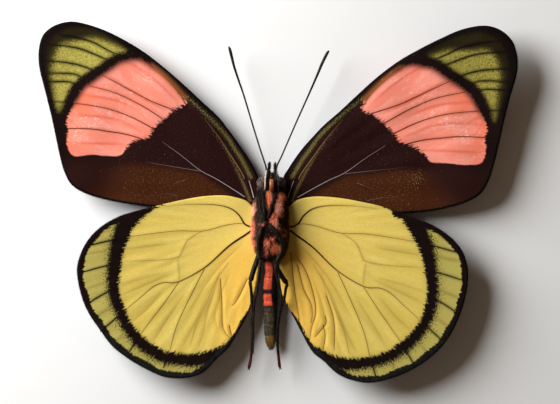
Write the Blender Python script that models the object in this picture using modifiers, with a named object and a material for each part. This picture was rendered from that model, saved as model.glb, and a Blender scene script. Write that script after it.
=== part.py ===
"""A spread butterfly, dried flat and lying on its back, so that the underside shows.

Run it with blender --background --python part.py, or from Blender's text editor.
The model is in metres with +Z up. The head points along +Y, and +X is on the right
of someone who looks down on the underside. The origin is on the flat of the back,
where the thorax rests. Numbers below are millimetres, and MM turns them to metres.
"""

import math

import bmesh
import bpy
from mathutils import Vector

MM = 0.001
WELD_DISTANCE = 1e-6      # metres, below which two points of a mesh are one

# Driving sizes of the specimen
TOUCH_GAP = 0.25          # air left between two pieces that touch
WING_THICKNESS = 0.32
WING_CELL = 3.4           # side of the grid that lets a wing bend
SLAB_MARGIN = 1.0         # how far a wing's slab reaches past its outline
OUTLINE_STEPS = 3         # straight pieces between two points of an outline
CUTTER_HEIGHT = 30.0

# Thorax: a rounded block, pressed flat on the back that it rests on
THORAX_CENTRE = (0.0, -1.8, 3.75)
THORAX_HALF = (3.15, 6.4, 4.3)
THORAX_POWER = 2.6
THORAX_FACES = (28, 18)   # faces round the long axis, and rings along it

HEAD_CENTRE = (0.05, 6.15, 3.8)
HEAD_HALF = (1.75, 1.8, 1.6)
HEAD_POWER = 2.2
HEAD_FACES = (24, 14)
EYE_RADIUS = 1.15
EYE_OFFSET = (1.7, 0.1, 0.35)
EYE_FACES = (16, 10)

# Abdomen: a turned shape along its own axis, from the waist to the tip
ABDOMEN_START = (-0.15, -7.4, 3.3)
ABDOMEN_END = (0.05, -25.2, 2.2)
ABDOMEN_RADII = (0.95, 1.0, 1.15, 1.25, 1.25, 1.2, 1.1, 0.85, 0.3)
ABDOMEN_GROOVE = 0.1      # share of the radius lost at each ring
ABDOMEN_ROWS = 4          # rows of faces from one radius above to the next
ABDOMEN_TIP = 0.15        # how far the end bulges past the last radius
ABDOMEN_SIDES = 14

# Coiled tongue between the palps
TONGUE_CENTRE = (0.12, 5.75, 6.95)
TONGUE_OUTER = 1.15
TONGUE_INNER = 0.35
TONGUE_TURNS = 2.0
TONGUE_RADIUS = 0.165
TONGUE_WIDTH = 2.0        # how much wider than thick the tongue is
TONGUE_POINTS = 28

# Height of each wing pair's root and how far its outer edge rises
FOREWING_ROOT_HEIGHT = 2.45
FOREWING_RISE = 3.3
HINDWING_ROOT_HEIGHT = 3.15
HINDWING_RISE = 2.7
RISE_POWER = 1.5          # 1 would be a straight slope, and more is a bowl
WING_SPAN_START = 3.0
WING_SPAN_REACH = 43.0
HINDWING_REACH = 36.0
HINDWING_ROOT = (3.4, -2.0)
LEADING_EDGE_CURL = 0.7
LEADING_EDGE_WIDTH = 5.0
CURL_ONSET = 5.0          # the curl is full at one part in this many of the span
LEADING_EDGE_LINE = ((3.0, 7.0), (42.0, 35.5))
RIB_RADII = (0.42, 0.2)   # the thick vein along the leading edge, root and end
RIB_POINTS = 12           # leading-edge points that the rib follows
RIB_INSET = 0.3           # how far the rib lies inside the wing's outline

# Wing outlines as (x, y), from the front of the root along the leading edge
FOREWING_RIGHT = (
    (2.4, 6.9), (4.0, 10.3), (6.0, 12.6), (8.0, 14.9), (10.0, 17.0), (13.0, 19.6),
    (16.0, 22.4), (20.0, 26.0), (24.0, 29.0), (28.0, 31.3), (32.0, 33.3),
    (36.0, 35.0), (40.0, 35.7), (43.0, 35.0), (45.2, 33.2), (46.2, 31.0),
    (46.5, 28.5), (46.2, 26.0), (45.0, 22.0), (43.9, 17.6), (42.9, 13.0),
    (41.9, 9.0), (41.0, 6.4), (39.6, 4.1), (37.0, 2.5), (33.0, 1.3), (28.0, 0.5),
    (20.0, 0.2), (12.0, 0.2), (6.0, 0.3), (2.4, 0.4), (2.0, 3.6),
)
FOREWING_LEFT = (
    (-2.4, 7.1), (-4.0, 10.3), (-6.0, 13.3), (-8.0, 16.1), (-10.0, 18.6), (-13.0, 21.4),
    (-16.0, 24.2), (-20.0, 27.7), (-24.0, 30.8), (-28.0, 33.2), (-32.0, 35.1),
    (-36.0, 36.3), (-38.5, 36.4), (-41.0, 35.6), (-42.8, 34.1), (-43.6, 32.0),
    (-43.8, 29.5), (-43.5, 27.0), (-42.6, 23.5), (-41.5, 19.0), (-40.6, 14.8),
    (-39.8, 11.0), (-39.0, 8.2), (-37.7, 5.8), (-35.5, 4.3), (-32.0, 3.1),
    (-27.0, 2.1), (-20.0, 1.3), (-12.0, 0.8), (-6.0, 0.5), (-2.4, 0.4), (-2.0, 3.6),
)
HINDWING_RIGHT = (
    (2.4, 0.6), (3.6, 1.7), (4.6, 2.6), (6.2, 3.2), (9.0, 3.5), (13.0, 3.2), (17.0, 2.5),
    (21.0, 1.6), (24.0, 0.4), (28.0, -0.9), (31.0, -2.2), (34.0, -4.3), (36.0, -6.7),
    (37.0, -9.6), (37.1, -12.6), (36.5, -16.0), (35.4, -19.3), (33.6, -22.9),
    (31.0, -26.0), (27.5, -28.6), (23.5, -30.5), (19.0, -31.6), (15.5, -31.2),
    (12.5, -29.9), (10.0, -27.6), (8.0, -26.0), (6.6, -23.8), (4.6, -20.0),
    (3.2, -17.4), (2.3, -15.4), (1.8, -13.0), (1.6, -10.5), (1.7, -8.0), (1.8, -4.0),
)
HINDWING_LEFT = (
    (-2.4, 0.6), (-3.6, 1.7), (-4.6, 2.6), (-6.2, 3.2), (-9.0, 3.7), (-13.0, 3.5), (-17.0, 2.8),
    (-21.0, 1.9), (-25.0, 0.9), (-28.0, 0.0), (-31.0, -1.5), (-33.5, -3.5),
    (-35.4, -6.2), (-36.5, -9.5), (-36.4, -12.2), (-35.6, -15.6), (-34.3, -18.6),
    (-32.4, -21.4), (-30.0, -24.6), (-27.0, -27.0), (-24.0, -28.8), (-20.5, -30.4),
    (-17.5, -30.8), (-14.5, -30.4), (-12.3, -29.3), (-10.3, -27.2), (-8.0, -25.0),
    (-6.4, -22.4), (-5.0, -20.0), (-4.0, -17.8), (-3.3, -15.4), (-2.7, -13.0),
    (-2.4, -10.5), (-2.2, -8.0), (-1.8, -4.0),
)

# Slender pieces as (x, y, z, radius), from the root to the tip
ANTENNA_LEFT = (
    (-0.75, 8.1, 3.7, 0.2), (-0.98, 9.2, 3.6, 0.17), (-1.5, 10.8, 3.7, 0.15),
    (-2.6, 14.2, 3.9, 0.15), (-4.2, 19.5, 4.3, 0.16), (-5.2, 22.8, 4.5, 0.17),
    (-6.1, 25.4, 4.7, 0.2), (-6.95, 28.0, 4.9, 0.24), (-7.4, 29.8, 5.0, 0.28),
    (-7.75, 31.2, 5.1, 0.28), (-8.0, 31.8, 5.1, 0.17),
)
ANTENNA_RIGHT = (
    (0.85, 8.1, 3.7, 0.2), (1.15, 9.3, 3.6, 0.17), (2.0, 11.1, 3.7, 0.15),
    (3.6, 14.8, 3.9, 0.15), (5.4, 18.9, 4.2, 0.16), (6.8, 22.0, 4.4, 0.17),
    (7.9, 24.5, 4.6, 0.2), (8.9, 26.8, 4.8, 0.24), (9.7, 28.7, 4.9, 0.28),
    (10.6, 30.5, 5.0, 0.27), (11.0, 31.0, 5.0, 0.17),
)
PALP_LEFT = (
    (-0.85, 4.8, 6.0, 0.28), (-0.8, 5.6, 6.2, 0.36), (-0.72, 7.0, 6.3, 0.4),
    (-0.5, 8.3, 6.0, 0.36), (-0.35, 9.2, 5.6, 0.28), (-0.25, 9.95, 5.2, 0.13),
)
PALP_RIGHT = (
    (1.05, 4.8, 6.0, 0.24), (1.08, 5.6, 6.2, 0.3), (0.98, 7.0, 6.3, 0.33),
    (0.8, 8.3, 6.0, 0.3), (0.8, 9.2, 5.6, 0.24), (0.82, 9.9, 5.2, 0.12),
)
MIDLEG_LEFT = (
    (-1.6, -2.2, 7.9, 0.42), (-2.1, -3.6, 7.9, 0.45), (-2.3, -5.2, 7.6, 0.42),
    (-2.2, -7.0, 7.3, 0.36), (-2.0, -8.6, 7.1, 0.3), (-2.15, -10.5, 6.9, 0.28),
    (-2.35, -12.5, 6.7, 0.26), (-2.7, -14.5, 6.5, 0.25), (-3.1, -16.5, 6.3, 0.23),
    (-3.3, -19.5, 6.0, 0.2), (-3.3, -23.0, 5.6, 0.18), (-3.4, -26.0, 5.2, 0.15),
)
MIDLEG_RIGHT = (
    (-0.5, -1.8, 8.6, 0.36), (0.6, -2.8, 8.6, 0.42), (1.6, -4.0, 8.3, 0.42),
    (2.2, -5.4, 7.7, 0.4), (1.9, -6.9, 7.4, 0.34), (1.1, -8.6, 7.2, 0.3),
    (0.9, -10.2, 7.0, 0.28), (1.2, -12.0, 6.8, 0.26), (1.7, -14.0, 6.6, 0.25),
    (2.0, -15.8, 6.4, 0.23), (1.7, -18.0, 6.1, 0.2), (1.2, -21.0, 5.7, 0.18),
    (1.1, -24.5, 5.3, 0.15),
)
HINDLEG_LEFT = (
    (-2.0, -6.6, 5.6, 0.38), (-2.5, -8.2, 5.6, 0.45), (-3.2, -10.2, 5.5, 0.42),
    (-3.9, -12.2, 5.4, 0.36), (-3.9, -12.9, 5.4, 0.3), (-3.75, -14.0, 5.4, 0.28),
    (-3.6, -17.0, 5.2, 0.3), (-3.55, -20.5, 4.9, 0.3), (-3.6, -24.5, 4.5, 0.28),
    (-3.8, -27.0, 4.2, 0.28), (-4.1, -28.5, 4.0, 0.32), (-4.2, -29.1, 3.9, 0.18),
)
HINDLEG_RIGHT = (
    (0.6, -7.9, 5.7, 0.34), (0.8, -9.2, 5.7, 0.4), (1.5, -10.7, 5.6, 0.42),
    (2.4, -12.1, 5.5, 0.38), (3.0, -13.0, 5.4, 0.33), (2.8, -13.9, 5.4, 0.28),
    (2.5, -15.6, 5.3, 0.28), (1.7, -18.4, 5.0, 0.3), (1.3, -21.0, 4.8, 0.3),
    (1.25, -24.5, 4.5, 0.28), (1.45, -27.0, 4.2, 0.28), (1.6, -28.4, 4.0, 0.3),
    (1.75, -29.0, 3.9, 0.18),
)
# The short forelegs are folded on the thorax, as (x, y, height over it, radius)
FORELEG_LEFT = (
    (-1.35, -0.9, 0.1, 0.3), (-1.4, 0.8, 0.1, 0.36), (-1.5, 2.4, 0.15, 0.36),
    (-1.6, 3.8, 0.6, 0.33), (-1.75, 4.3, 0.9, 0.3), (-2.05, 4.5, 1.1, 0.28),
    (-2.35, 4.2, 1.1, 0.3), (-2.42, 3.4, 0.7, 0.32), (-2.4, 1.8, 0.35, 0.32),
    (-2.3, 0.4, 0.3, 0.24),
)
FORELEG_RIGHT = (
    (-0.6, -0.6, 0.1, 0.22), (-0.15, 0.7, 0.1, 0.26), (0.2, 2.0, 0.1, 0.26),
    (0.75, 3.3, 0.25, 0.24), (1.3, 4.2, 0.9, 0.16),
)

# Colour, roughness and metallic value of each material
FINISHES = {
    "forewing_scales": ((0.045, 0.022, 0.015), 0.6, 0.0),
    "hindwing_scales": ((0.72, 0.52, 0.12), 0.65, 0.0),
    "body_scales": ((0.5, 0.11, 0.06), 0.7, 0.0),
    "abdomen_scales": ((0.55, 0.12, 0.06), 0.7, 0.0),
    "dark_chitin": ((0.03, 0.02, 0.016), 0.4, 0.0),
    "eye": ((0.05, 0.02, 0.018), 0.2, 0.0),
    "tongue": ((0.42, 0.16, 0.06), 0.4, 0.0),
}


def clear_scene():
    """Removes what a new scene starts with."""
    for obj in list(bpy.data.objects):
        bpy.data.objects.remove(obj)


def make_collection(name):
    collection = bpy.data.collections.new(name)
    bpy.context.scene.collection.children.link(collection)
    return collection


def material(name):
    """The material of this name, made the first time that it is asked for."""
    found = bpy.data.materials.get(name)
    if found:
        return found
    colour, roughness, metallic = FINISHES[name]
    made = bpy.data.materials.new(name)
    made.use_nodes = True
    shader = made.node_tree.nodes["Principled BSDF"]
    shader.inputs["Base Color"].default_value = (*colour, 1.0)
    shader.inputs["Roughness"].default_value = roughness
    shader.inputs["Metallic"].default_value = metallic
    made.diffuse_color = (*colour, 1.0)
    return made


def add_object(name, data, finish, collection):
    obj = bpy.data.objects.new(name, data)
    collection.objects.link(obj)
    if finish:
        data.materials.append(material(finish))
    return obj


def as_cutter(obj):
    """Marks a helper: it shapes its neighbours and is left out of renders."""
    obj.hide_render = True
    obj.display_type = "WIRE"
    return obj


def boolean(obj, cutter, operation="DIFFERENCE"):
    modifier = obj.modifiers.new(cutter.name, "BOOLEAN")
    modifier.operation = operation
    modifier.object = cutter


def mesh_from_curve(name, curve, finish, collection):
    """A closed mesh object from curve data, with the loose caps welded on."""
    scratch = bpy.data.objects.new(name + "_curve", curve)
    collection.objects.link(scratch)
    bpy.context.view_layer.update()
    graph = bpy.context.evaluated_depsgraph_get()
    mesh = bpy.data.meshes.new_from_object(scratch.evaluated_get(graph))
    bpy.data.objects.remove(scratch)
    bm = bmesh.new()
    bm.from_mesh(mesh)
    bmesh.ops.remove_doubles(bm, verts=bm.verts, dist=WELD_DISTANCE)
    bmesh.ops.recalc_face_normals(bm, faces=bm.faces)
    bm.to_mesh(mesh)
    bm.free()
    mesh.shade_smooth()
    mesh.materials.clear()
    return add_object(name, mesh, finish, collection)


def rounded_block(name, centre, half, power, faces, finish, collection):
    """A UV sphere pushed out to a superellipsoid, with its poles to the front and back."""
    mesh = bpy.data.meshes.new(name)
    bm = bmesh.new()
    bmesh.ops.create_uvsphere(bm, u_segments=faces[0], v_segments=faces[1], radius=1.0)
    for vertex in bm.verts:
        x, z, y = vertex.co
        length = (abs(x) ** power + abs(y) ** power + abs(z) ** power) ** (1 / power)
        vertex.co = [(c + h * a / length) * MM for c, h, a in zip(centre, half, (x, -y, z))]
    bmesh.ops.recalc_face_normals(bm, faces=bm.faces)
    bm.to_mesh(mesh)
    bm.free()
    mesh.shade_smooth()
    return add_object(name, mesh, finish, collection)


def thorax_top(x, y):
    """Height of the thorax's upper surface over (x, y), or of its middle outside it."""
    share = 1.0
    for value, centre, half in zip((x, y), THORAX_CENTRE, THORAX_HALF):
        share -= abs((value - centre) / half) ** THORAX_POWER
    return THORAX_CENTRE[2] + THORAX_HALF[2] * max(share, 0.0) ** (1 / THORAX_POWER)


def forewing_height(x, y):
    """Middle height of a forewing: it rises outwards, and its leading edge curls up."""
    span = max(abs(x) - WING_SPAN_START, 0.0) / WING_SPAN_REACH
    (x0, y0), (x1, y1) = LEADING_EDGE_LINE
    length = math.hypot(x1 - x0, y1 - y0)
    behind = ((x1 - x0) * (y - y0) - (y1 - y0) * (abs(x) - x0)) / length
    curl = LEADING_EDGE_CURL * math.exp(min(behind, 0.0) / LEADING_EDGE_WIDTH)
    curl *= min(span * CURL_ONSET, 1.0)
    return FOREWING_ROOT_HEIGHT + FOREWING_RISE * span ** RISE_POWER + curl


def hindwing_height(x, y):
    """Middle height of a hindwing: it rises with the distance from its root."""
    reach = math.hypot(abs(x) - HINDWING_ROOT[0], y - HINDWING_ROOT[1]) / HINDWING_REACH
    return HINDWING_ROOT_HEIGHT + HINDWING_RISE * reach ** RISE_POWER


def outline_cutter(name, outline, collection):
    """A tall prism with the wing's smooth outline, to cut the wing from its slab."""
    curve = bpy.data.curves.new(name, "CURVE")
    curve.dimensions = "2D"
    curve.fill_mode = "BOTH"
    curve.extrude = CUTTER_HEIGHT / 2 * MM
    curve.resolution_u = OUTLINE_STEPS
    spline = curve.splines.new("BEZIER")
    spline.use_cyclic_u = True
    spline.bezier_points.add(len(outline) - 1)
    for point, (x, y) in zip(spline.bezier_points, outline):
        point.co = (x * MM, y * MM, 0.0)
        point.handle_left_type = point.handle_right_type = "AUTO"
    return as_cutter(mesh_from_curve(name, curve, None, collection))


def bent_slab(name, outline, height, finish, collection):
    """A thin slab over the outline's box, gridded so that it follows the height function."""
    xs = [x for x, _ in outline]
    ys = [y for _, y in outline]
    low = (min(xs) - SLAB_MARGIN, min(ys) - SLAB_MARGIN)
    high = (max(xs) + SLAB_MARGIN, max(ys) + SLAB_MARGIN)
    cells = [math.ceil((b - a) / WING_CELL) for a, b in zip(low, high)]
    bm = bmesh.new()
    bmesh.ops.create_grid(bm, x_segments=cells[0], y_segments=cells[1], size=0.5)
    for vertex in bm.verts:
        x, y = (a + (b - a) * (c + 0.5) for a, b, c in zip(low, high, vertex.co))
        vertex.co = (x * MM, y * MM, (height(x, y) - WING_THICKNESS / 2) * MM)
    bmesh.ops.triangulate(bm, faces=bm.faces)
    raised = bmesh.ops.extrude_face_region(bm, geom=bm.faces[:], use_keep_orig=True)["geom"]
    top = [item for item in raised if isinstance(item, bmesh.types.BMVert)]
    bmesh.ops.translate(bm, verts=top, vec=(0.0, 0.0, WING_THICKNESS * MM))
    bmesh.ops.recalc_face_normals(bm, faces=bm.faces)
    mesh = bpy.data.meshes.new(name)
    bm.to_mesh(mesh)
    bm.free()
    return add_object(name, mesh, finish, collection)


def tube(name, path, finish, collection, sides=2):
    """A round tapered limb through (x, y, z, radius) points, as a bevelled POLY curve."""
    curve = bpy.data.curves.new(name, "CURVE")
    curve.dimensions = "3D"
    curve.bevel_depth = MM
    curve.bevel_resolution = sides
    curve.use_fill_caps = True
    spline = curve.splines.new("POLY")
    spline.points.add(len(path) - 1)
    for point, (x, y, z, radius) in zip(spline.points, path):
        point.co = (x * MM, y * MM, z * MM, 1.0)
        point.radius = radius
    return mesh_from_curve(name, curve, finish, collection)


def wing(name, outline, height, finish, clearance, collection, cutters):
    """One wing, cut from its bent slab by its outline and kept off the thorax."""
    obj = bent_slab(name, outline, height, finish, collection)
    boolean(obj, outline_cutter(name + "_outline", outline, cutters), "INTERSECT")
    boolean(obj, clearance)
    return obj


def leading_rib(name, outline, height, cutters):
    """The thick vein that a forewing's leading edge carries, for a union with the wing."""
    root, end = RIB_RADII
    path = []
    for i, (x, y) in enumerate(outline[:RIB_POINTS]):
        radius = root + (end - root) * i / (RIB_POINTS - 1)
        inward = math.copysign(RIB_INSET, x)
        path.append((x + inward, y - RIB_INSET, height(x, y), radius))
    return as_cutter(tube(name, path, None, cutters, sides=1))


def make_wings(clearance, collection, cutters):
    for side, outline in (("right", FOREWING_RIGHT), ("left", FOREWING_LEFT)):
        name = "forewing_" + side
        obj = wing(name, outline, forewing_height, "forewing_scales", clearance, collection, cutters)
        rib = leading_rib(name + "_rib", outline, forewing_height, cutters)
        boolean(obj, rib, "UNION")
    for side, outline in (("right", HINDWING_RIGHT), ("left", HINDWING_LEFT)):
        name = "hindwing_" + side
        wing(name, outline, hindwing_height, "hindwing_scales", clearance, collection, cutters)


def make_thorax(collection, cutters):
    """The thorax with its flat back, and a slightly larger copy that clears its neighbours."""
    thorax = rounded_block(
        "thorax", THORAX_CENTRE, THORAX_HALF, THORAX_POWER, THORAX_FACES, "body_scales", collection
    )
    bm = bmesh.new()
    bm.from_mesh(thorax.data)
    cut = bmesh.ops.bisect_plane(
        bm, geom=bm.verts[:] + bm.edges[:] + bm.faces[:],
        plane_co=(0.0, 0.0, 0.0), plane_no=(0.0, 0.0, -1.0), clear_outer=True,
    )
    rim = [item for item in cut["geom_cut"] if isinstance(item, bmesh.types.BMEdge)]
    bmesh.ops.contextual_create(bm, geom=rim)
    bmesh.ops.recalc_face_normals(bm, faces=bm.faces)
    bm.to_mesh(thorax.data)
    bm.free()
    larger = [half + TOUCH_GAP for half in THORAX_HALF]
    clearance = rounded_block(
        "thorax_clearance", THORAX_CENTRE, larger, THORAX_POWER, THORAX_FACES, None, cutters
    )
    return as_cutter(clearance)


def make_head(clearance, collection, cutters):
    """The head, hollowed where the eyes sit and the thorax meets it, and both eyes."""
    head = rounded_block(
        "head", HEAD_CENTRE, HEAD_HALF, HEAD_POWER, HEAD_FACES, "body_scales", collection
    )
    boolean(head, clearance)
    ball, ball_power = (EYE_RADIUS,) * 3, 2.0
    hollow = (EYE_RADIUS + TOUCH_GAP,) * 3
    for side, sign in (("right", 1.0), ("left", -1.0)):
        centre = [c + s * o for c, o, s in zip(HEAD_CENTRE, EYE_OFFSET, (sign, 1.0, 1.0))]
        rounded_block("eye_" + side, centre, ball, ball_power, EYE_FACES, "eye", collection)
        socket = rounded_block(
            "socket_" + side, centre, hollow, ball_power, EYE_FACES, None, cutters
        )
        boolean(head, as_cutter(socket))


def make_abdomen(clearance, collection):
    """The ringed abdomen, as a profile turned about its axis and laid along -Y."""
    rows = (len(ABDOMEN_RADII) - 1) * ABDOMEN_ROWS
    start, end = Vector(ABDOMEN_START), Vector(ABDOMEN_END)
    length = (end - start).length
    profile = [(0.0, 0.0, 0.0)]
    for i in range(rows + 1):
        whole, share = divmod(i / ABDOMEN_ROWS, 1.0)
        near = ABDOMEN_RADII[int(whole)]
        far = ABDOMEN_RADII[min(int(whole) + 1, len(ABDOMEN_RADII) - 1)]
        radius = near + (far - near) * share
        if i % ABDOMEN_ROWS == 0:
            radius *= 1.0 - ABDOMEN_GROOVE
        profile.append((radius * MM, 0.0, -length * i / rows * MM))
    profile.append((0.0, 0.0, -(length + ABDOMEN_TIP) * MM))
    mesh = bpy.data.meshes.new("abdomen")
    mesh.from_pydata(profile, [(i, i + 1) for i in range(len(profile) - 1)], [])
    obj = add_object("abdomen", mesh, "abdomen_scales", collection)
    screw = obj.modifiers.new("turn", "SCREW")
    screw.steps = screw.render_steps = ABDOMEN_SIDES
    screw.use_merge_vertices = True
    screw.merge_threshold = WELD_DISTANCE
    screw.use_smooth_shade = True
    obj.location = start * MM
    obj.rotation_mode = "QUATERNION"
    obj.rotation_quaternion = (start - end).to_track_quat("Z", "X")
    boolean(obj, clearance)


def make_tongue(collection):
    """The coiled tongue: a flat spiral that stands between the palps."""
    x, y, z = TONGUE_CENTRE
    path = []
    for i in range(TONGUE_POINTS):
        share = i / (TONGUE_POINTS - 1)
        radius = TONGUE_INNER + (TONGUE_OUTER - TONGUE_INNER) * share
        angle = -math.pi / 2 - 2 * math.pi * TONGUE_TURNS * (1 - share)
        path.append((0.0, y + radius * math.cos(angle), z + radius * math.sin(angle), TONGUE_RADIUS))
    obj = tube("tongue", path, "tongue", collection, sides=1)
    for vertex in obj.data.vertices:
        vertex.co.x = vertex.co.x * TONGUE_WIDTH + x * MM


def make_limbs(clearance, collection):
    """Antennae, palps and the six legs, each its own piece."""
    for name, path in (
        ("antenna_left", ANTENNA_LEFT), ("antenna_right", ANTENNA_RIGHT),
        ("palp_left", PALP_LEFT), ("palp_right", PALP_RIGHT),
    ):
        tube(name, path, "dark_chitin", collection)
    for name, path in (
        ("midleg_left", MIDLEG_LEFT), ("midleg_right", MIDLEG_RIGHT),
        ("hindleg_left", HINDLEG_LEFT), ("hindleg_right", HINDLEG_RIGHT),
    ):
        boolean(tube(name, path, "dark_chitin", collection), clearance)
    for name, folded in (("foreleg_left", FORELEG_LEFT), ("foreleg_right", FORELEG_RIGHT)):
        path = [(x, y, thorax_top(x, y) + radius + lift, radius) for x, y, lift, radius in folded]
        boolean(tube(name, path, "dark_chitin", collection), clearance)


def main():
    clear_scene()
    collection = make_collection("spread butterfly")
    cutters = make_collection("cutters")
    clearance = make_thorax(collection, cutters)
    make_wings(clearance, collection, cutters)
    make_head(clearance, collection, cutters)
    make_abdomen(clearance, collection)
    make_tongue(collection)
    make_limbs(clearance, collection)


main()
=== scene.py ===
"""The looks of a dried, spread butterfly that lies on its back, seen from its underside.

Lengths in the tables are millimetres. A wing's tables give x outwards from the body, so
that a left and a right wing are written alike. The head points along +Y, and +Z is up,
out of the underside.
"""

import logging
import math
from dataclasses import dataclass
from enum import Enum
from typing import Any, ClassVar, Mapping, Sequence

import bmesh
import bpy
import numpy as np
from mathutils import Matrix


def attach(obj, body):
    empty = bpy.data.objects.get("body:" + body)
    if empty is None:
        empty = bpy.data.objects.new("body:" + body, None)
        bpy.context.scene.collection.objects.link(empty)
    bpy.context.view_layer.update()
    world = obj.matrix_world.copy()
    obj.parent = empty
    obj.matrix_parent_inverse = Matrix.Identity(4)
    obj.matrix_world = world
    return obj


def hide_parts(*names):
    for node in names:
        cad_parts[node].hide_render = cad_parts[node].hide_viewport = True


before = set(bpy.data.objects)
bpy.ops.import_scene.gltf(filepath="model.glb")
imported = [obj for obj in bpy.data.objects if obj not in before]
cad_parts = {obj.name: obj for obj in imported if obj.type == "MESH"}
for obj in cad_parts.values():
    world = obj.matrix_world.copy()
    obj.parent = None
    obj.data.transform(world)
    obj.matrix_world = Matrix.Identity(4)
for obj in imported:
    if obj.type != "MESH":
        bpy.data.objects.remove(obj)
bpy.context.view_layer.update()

LOG = logging.getLogger("butterfly")
MM = 0.001
BODY = "root"

Thing = bpy.types.Object
Material = bpy.types.Material
Tree = bpy.types.NodeTree
Rows = Sequence[Sequence[float]]
Fields = dict[str, np.ndarray]

# Sockets of a colour Mix node, and of a Random Value node that gives numbers
MIX_FACTOR, MIX_BELOW, MIX_ABOVE, MIX_RESULT = 0, 6, 7, 2
RANDOM_LOW, RANDOM_HIGH, RANDOM_SEED, RANDOM_OUT = 2, 3, 8, 1


class Side(Enum):
    """Which way is outwards for a piece, as a sign of X."""

    LEFT = -1
    RIGHT = 1


class Pair(Enum):
    """Which pair a wing belongs to."""

    FORE = "forewing"
    HIND = "hindwing"


# Lines and fields


def smooth_line(rows: Rows, step: float, closed: bool = False, space: int = 2) -> np.ndarray:
    """Draws a smooth curve through given points and divides it evenly.

    Args:
        rows: the points; columns past the first ones, such as a radius, are carried along.
        step: distance between two points of the result.
        closed: whether the curve returns to its first point.
        space: how many of the columns are coordinates.

    Returns:
        One row for each point of the curve.
    """
    knots = np.asarray(rows, float)
    if closed:
        knots = np.vstack([knots[-1], knots, knots[0], knots[1]])
    else:
        knots = np.vstack([2 * knots[0] - knots[1], knots, 2 * knots[-1] - knots[-2]])
    t = np.linspace(0.0, 1.0, 10, endpoint=False)[:, None]
    spans = []
    for a, b, c, d in zip(knots, knots[1:], knots[2:], knots[3:]):
        bend, twist = 2 * a - 5 * b + 4 * c - d, 3 * b - a - 3 * c + d
        spans.append(0.5 * (2 * b + (c - a) * t + bend * t**2 + twist * t**3))
    curve = np.vstack([*spans, knots[-2][None]])
    lengths = np.linalg.norm(np.diff(curve[:, :space], axis=0), axis=1)
    arc = np.concatenate([[0.0], np.cumsum(lengths)])
    even = np.linspace(0.0, arc[-1], max(int(round(arc[-1] / step)), 2) + 1)
    return np.stack([np.interp(even, arc, column) for column in curve.T], axis=1)


def arc_length(line: np.ndarray) -> np.ndarray:
    """Returns the distance along a line of points, from 0 at its first point."""
    return np.concatenate([[0.0], np.cumsum(np.linalg.norm(np.diff(line, axis=0), axis=1))])


def nearest_on(points: np.ndarray, line: np.ndarray) -> tuple[np.ndarray, np.ndarray, np.ndarray]:
    """Finds the nearest place on a line for each of many points in the plane.

    Args:
        points: the points, one row each.
        line: the line's points, one row each.

    Returns:
        The distance, the place along the line from 0 to 1, and the nearest point.
    """
    start, step = line[:-1], np.diff(line, axis=0)
    size = (step**2).sum(1)
    arc = arc_length(line)
    found = []
    for part in np.array_split(points, max(len(points) * len(line) // 2_000_000, 1)):
        offset = part[:, None] - start
        along = np.clip((offset * step).sum(2) / size, 0.0, 1.0)
        gap = offset - along[..., None] * step
        distance = (gap**2).sum(2)
        best = distance.argmin(1)
        row = np.arange(len(part))
        share = (arc[best] + along[row, best] * np.sqrt(size[best])) / arc[-1]
        found.append((np.sqrt(distance[row, best]), share, part - gap[row, best]))
    return tuple(np.concatenate(column) for column in zip(*found))


def depth_inside(points: np.ndarray, loop: np.ndarray) -> np.ndarray:
    """Measures how deep points lie inside a closed outline.

    Args:
        points: the points, one row each.
        loop: the outline, whose last point is its first.

    Returns:
        The distance to the outline, negative outside it.
    """
    distance = nearest_on(points, loop)[0]
    x, y = points.T
    inside = np.zeros(len(points), bool)
    for (x0, y0), (x1, y1) in zip(loop, loop[1:]):
        crosses = (y0 > y) != (y1 > y)
        if crosses.any():
            inside ^= crosses & (x < x0 + (y - y0) * (x1 - x0) / ((y1 - y0) or 1e-9))
    return np.where(inside, distance, -distance)


def soft_step(value: np.ndarray, low: float, high: float) -> np.ndarray:
    """Returns 0 below low and 1 above high, with a smooth rise between them."""
    t = np.clip((value - low) / (high - low), 0.0, 1.0)
    return t * t * (3.0 - 2.0 * t)


def furrow(points: np.ndarray, lines: Sequence[np.ndarray], width: float) -> np.ndarray:
    """Gives each point its nearness to the closest of several lines.

    Args:
        points: the points, one row each.
        lines: lines of points.
        width: the distance at which nearness has fallen to about a third.

    Returns:
        1 on a line, and towards 0 away from all of them.
    """
    near = np.zeros(len(points))
    for line in lines:
        distance, share, _ = nearest_on(points, line)
        fade = np.sin(np.pi * np.clip(share, 0.02, 0.98)) ** 0.4
        near = np.maximum(near, fade * np.exp(-((distance / width) ** 2)))
    return near


# Meshes


def add_object(name: str, mesh: bpy.types.Mesh) -> Thing:
    """Puts a mesh in the scene as an object at the origin."""
    made = bpy.data.objects.new(name, mesh)
    bpy.context.scene.collection.objects.link(made)
    return made


def drop_object(obj: Thing) -> None:
    """Removes an object that only helped to make another."""
    bpy.data.objects.remove(obj)


def corners(mesh: bpy.types.Mesh) -> np.ndarray:
    """Returns a mesh's points in millimetres, one row each."""
    flat = np.empty(len(mesh.vertices) * 3, np.float32)
    mesh.vertices.foreach_get("co", flat)
    return flat.reshape(-1, 3).astype(float) / MM


def move_corners(mesh: bpy.types.Mesh, points: np.ndarray) -> None:
    """Gives a mesh new places for its points, in millimetres."""
    mesh.vertices.foreach_set("co", (points * MM).astype(np.float32).ravel())
    mesh.update()


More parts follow.
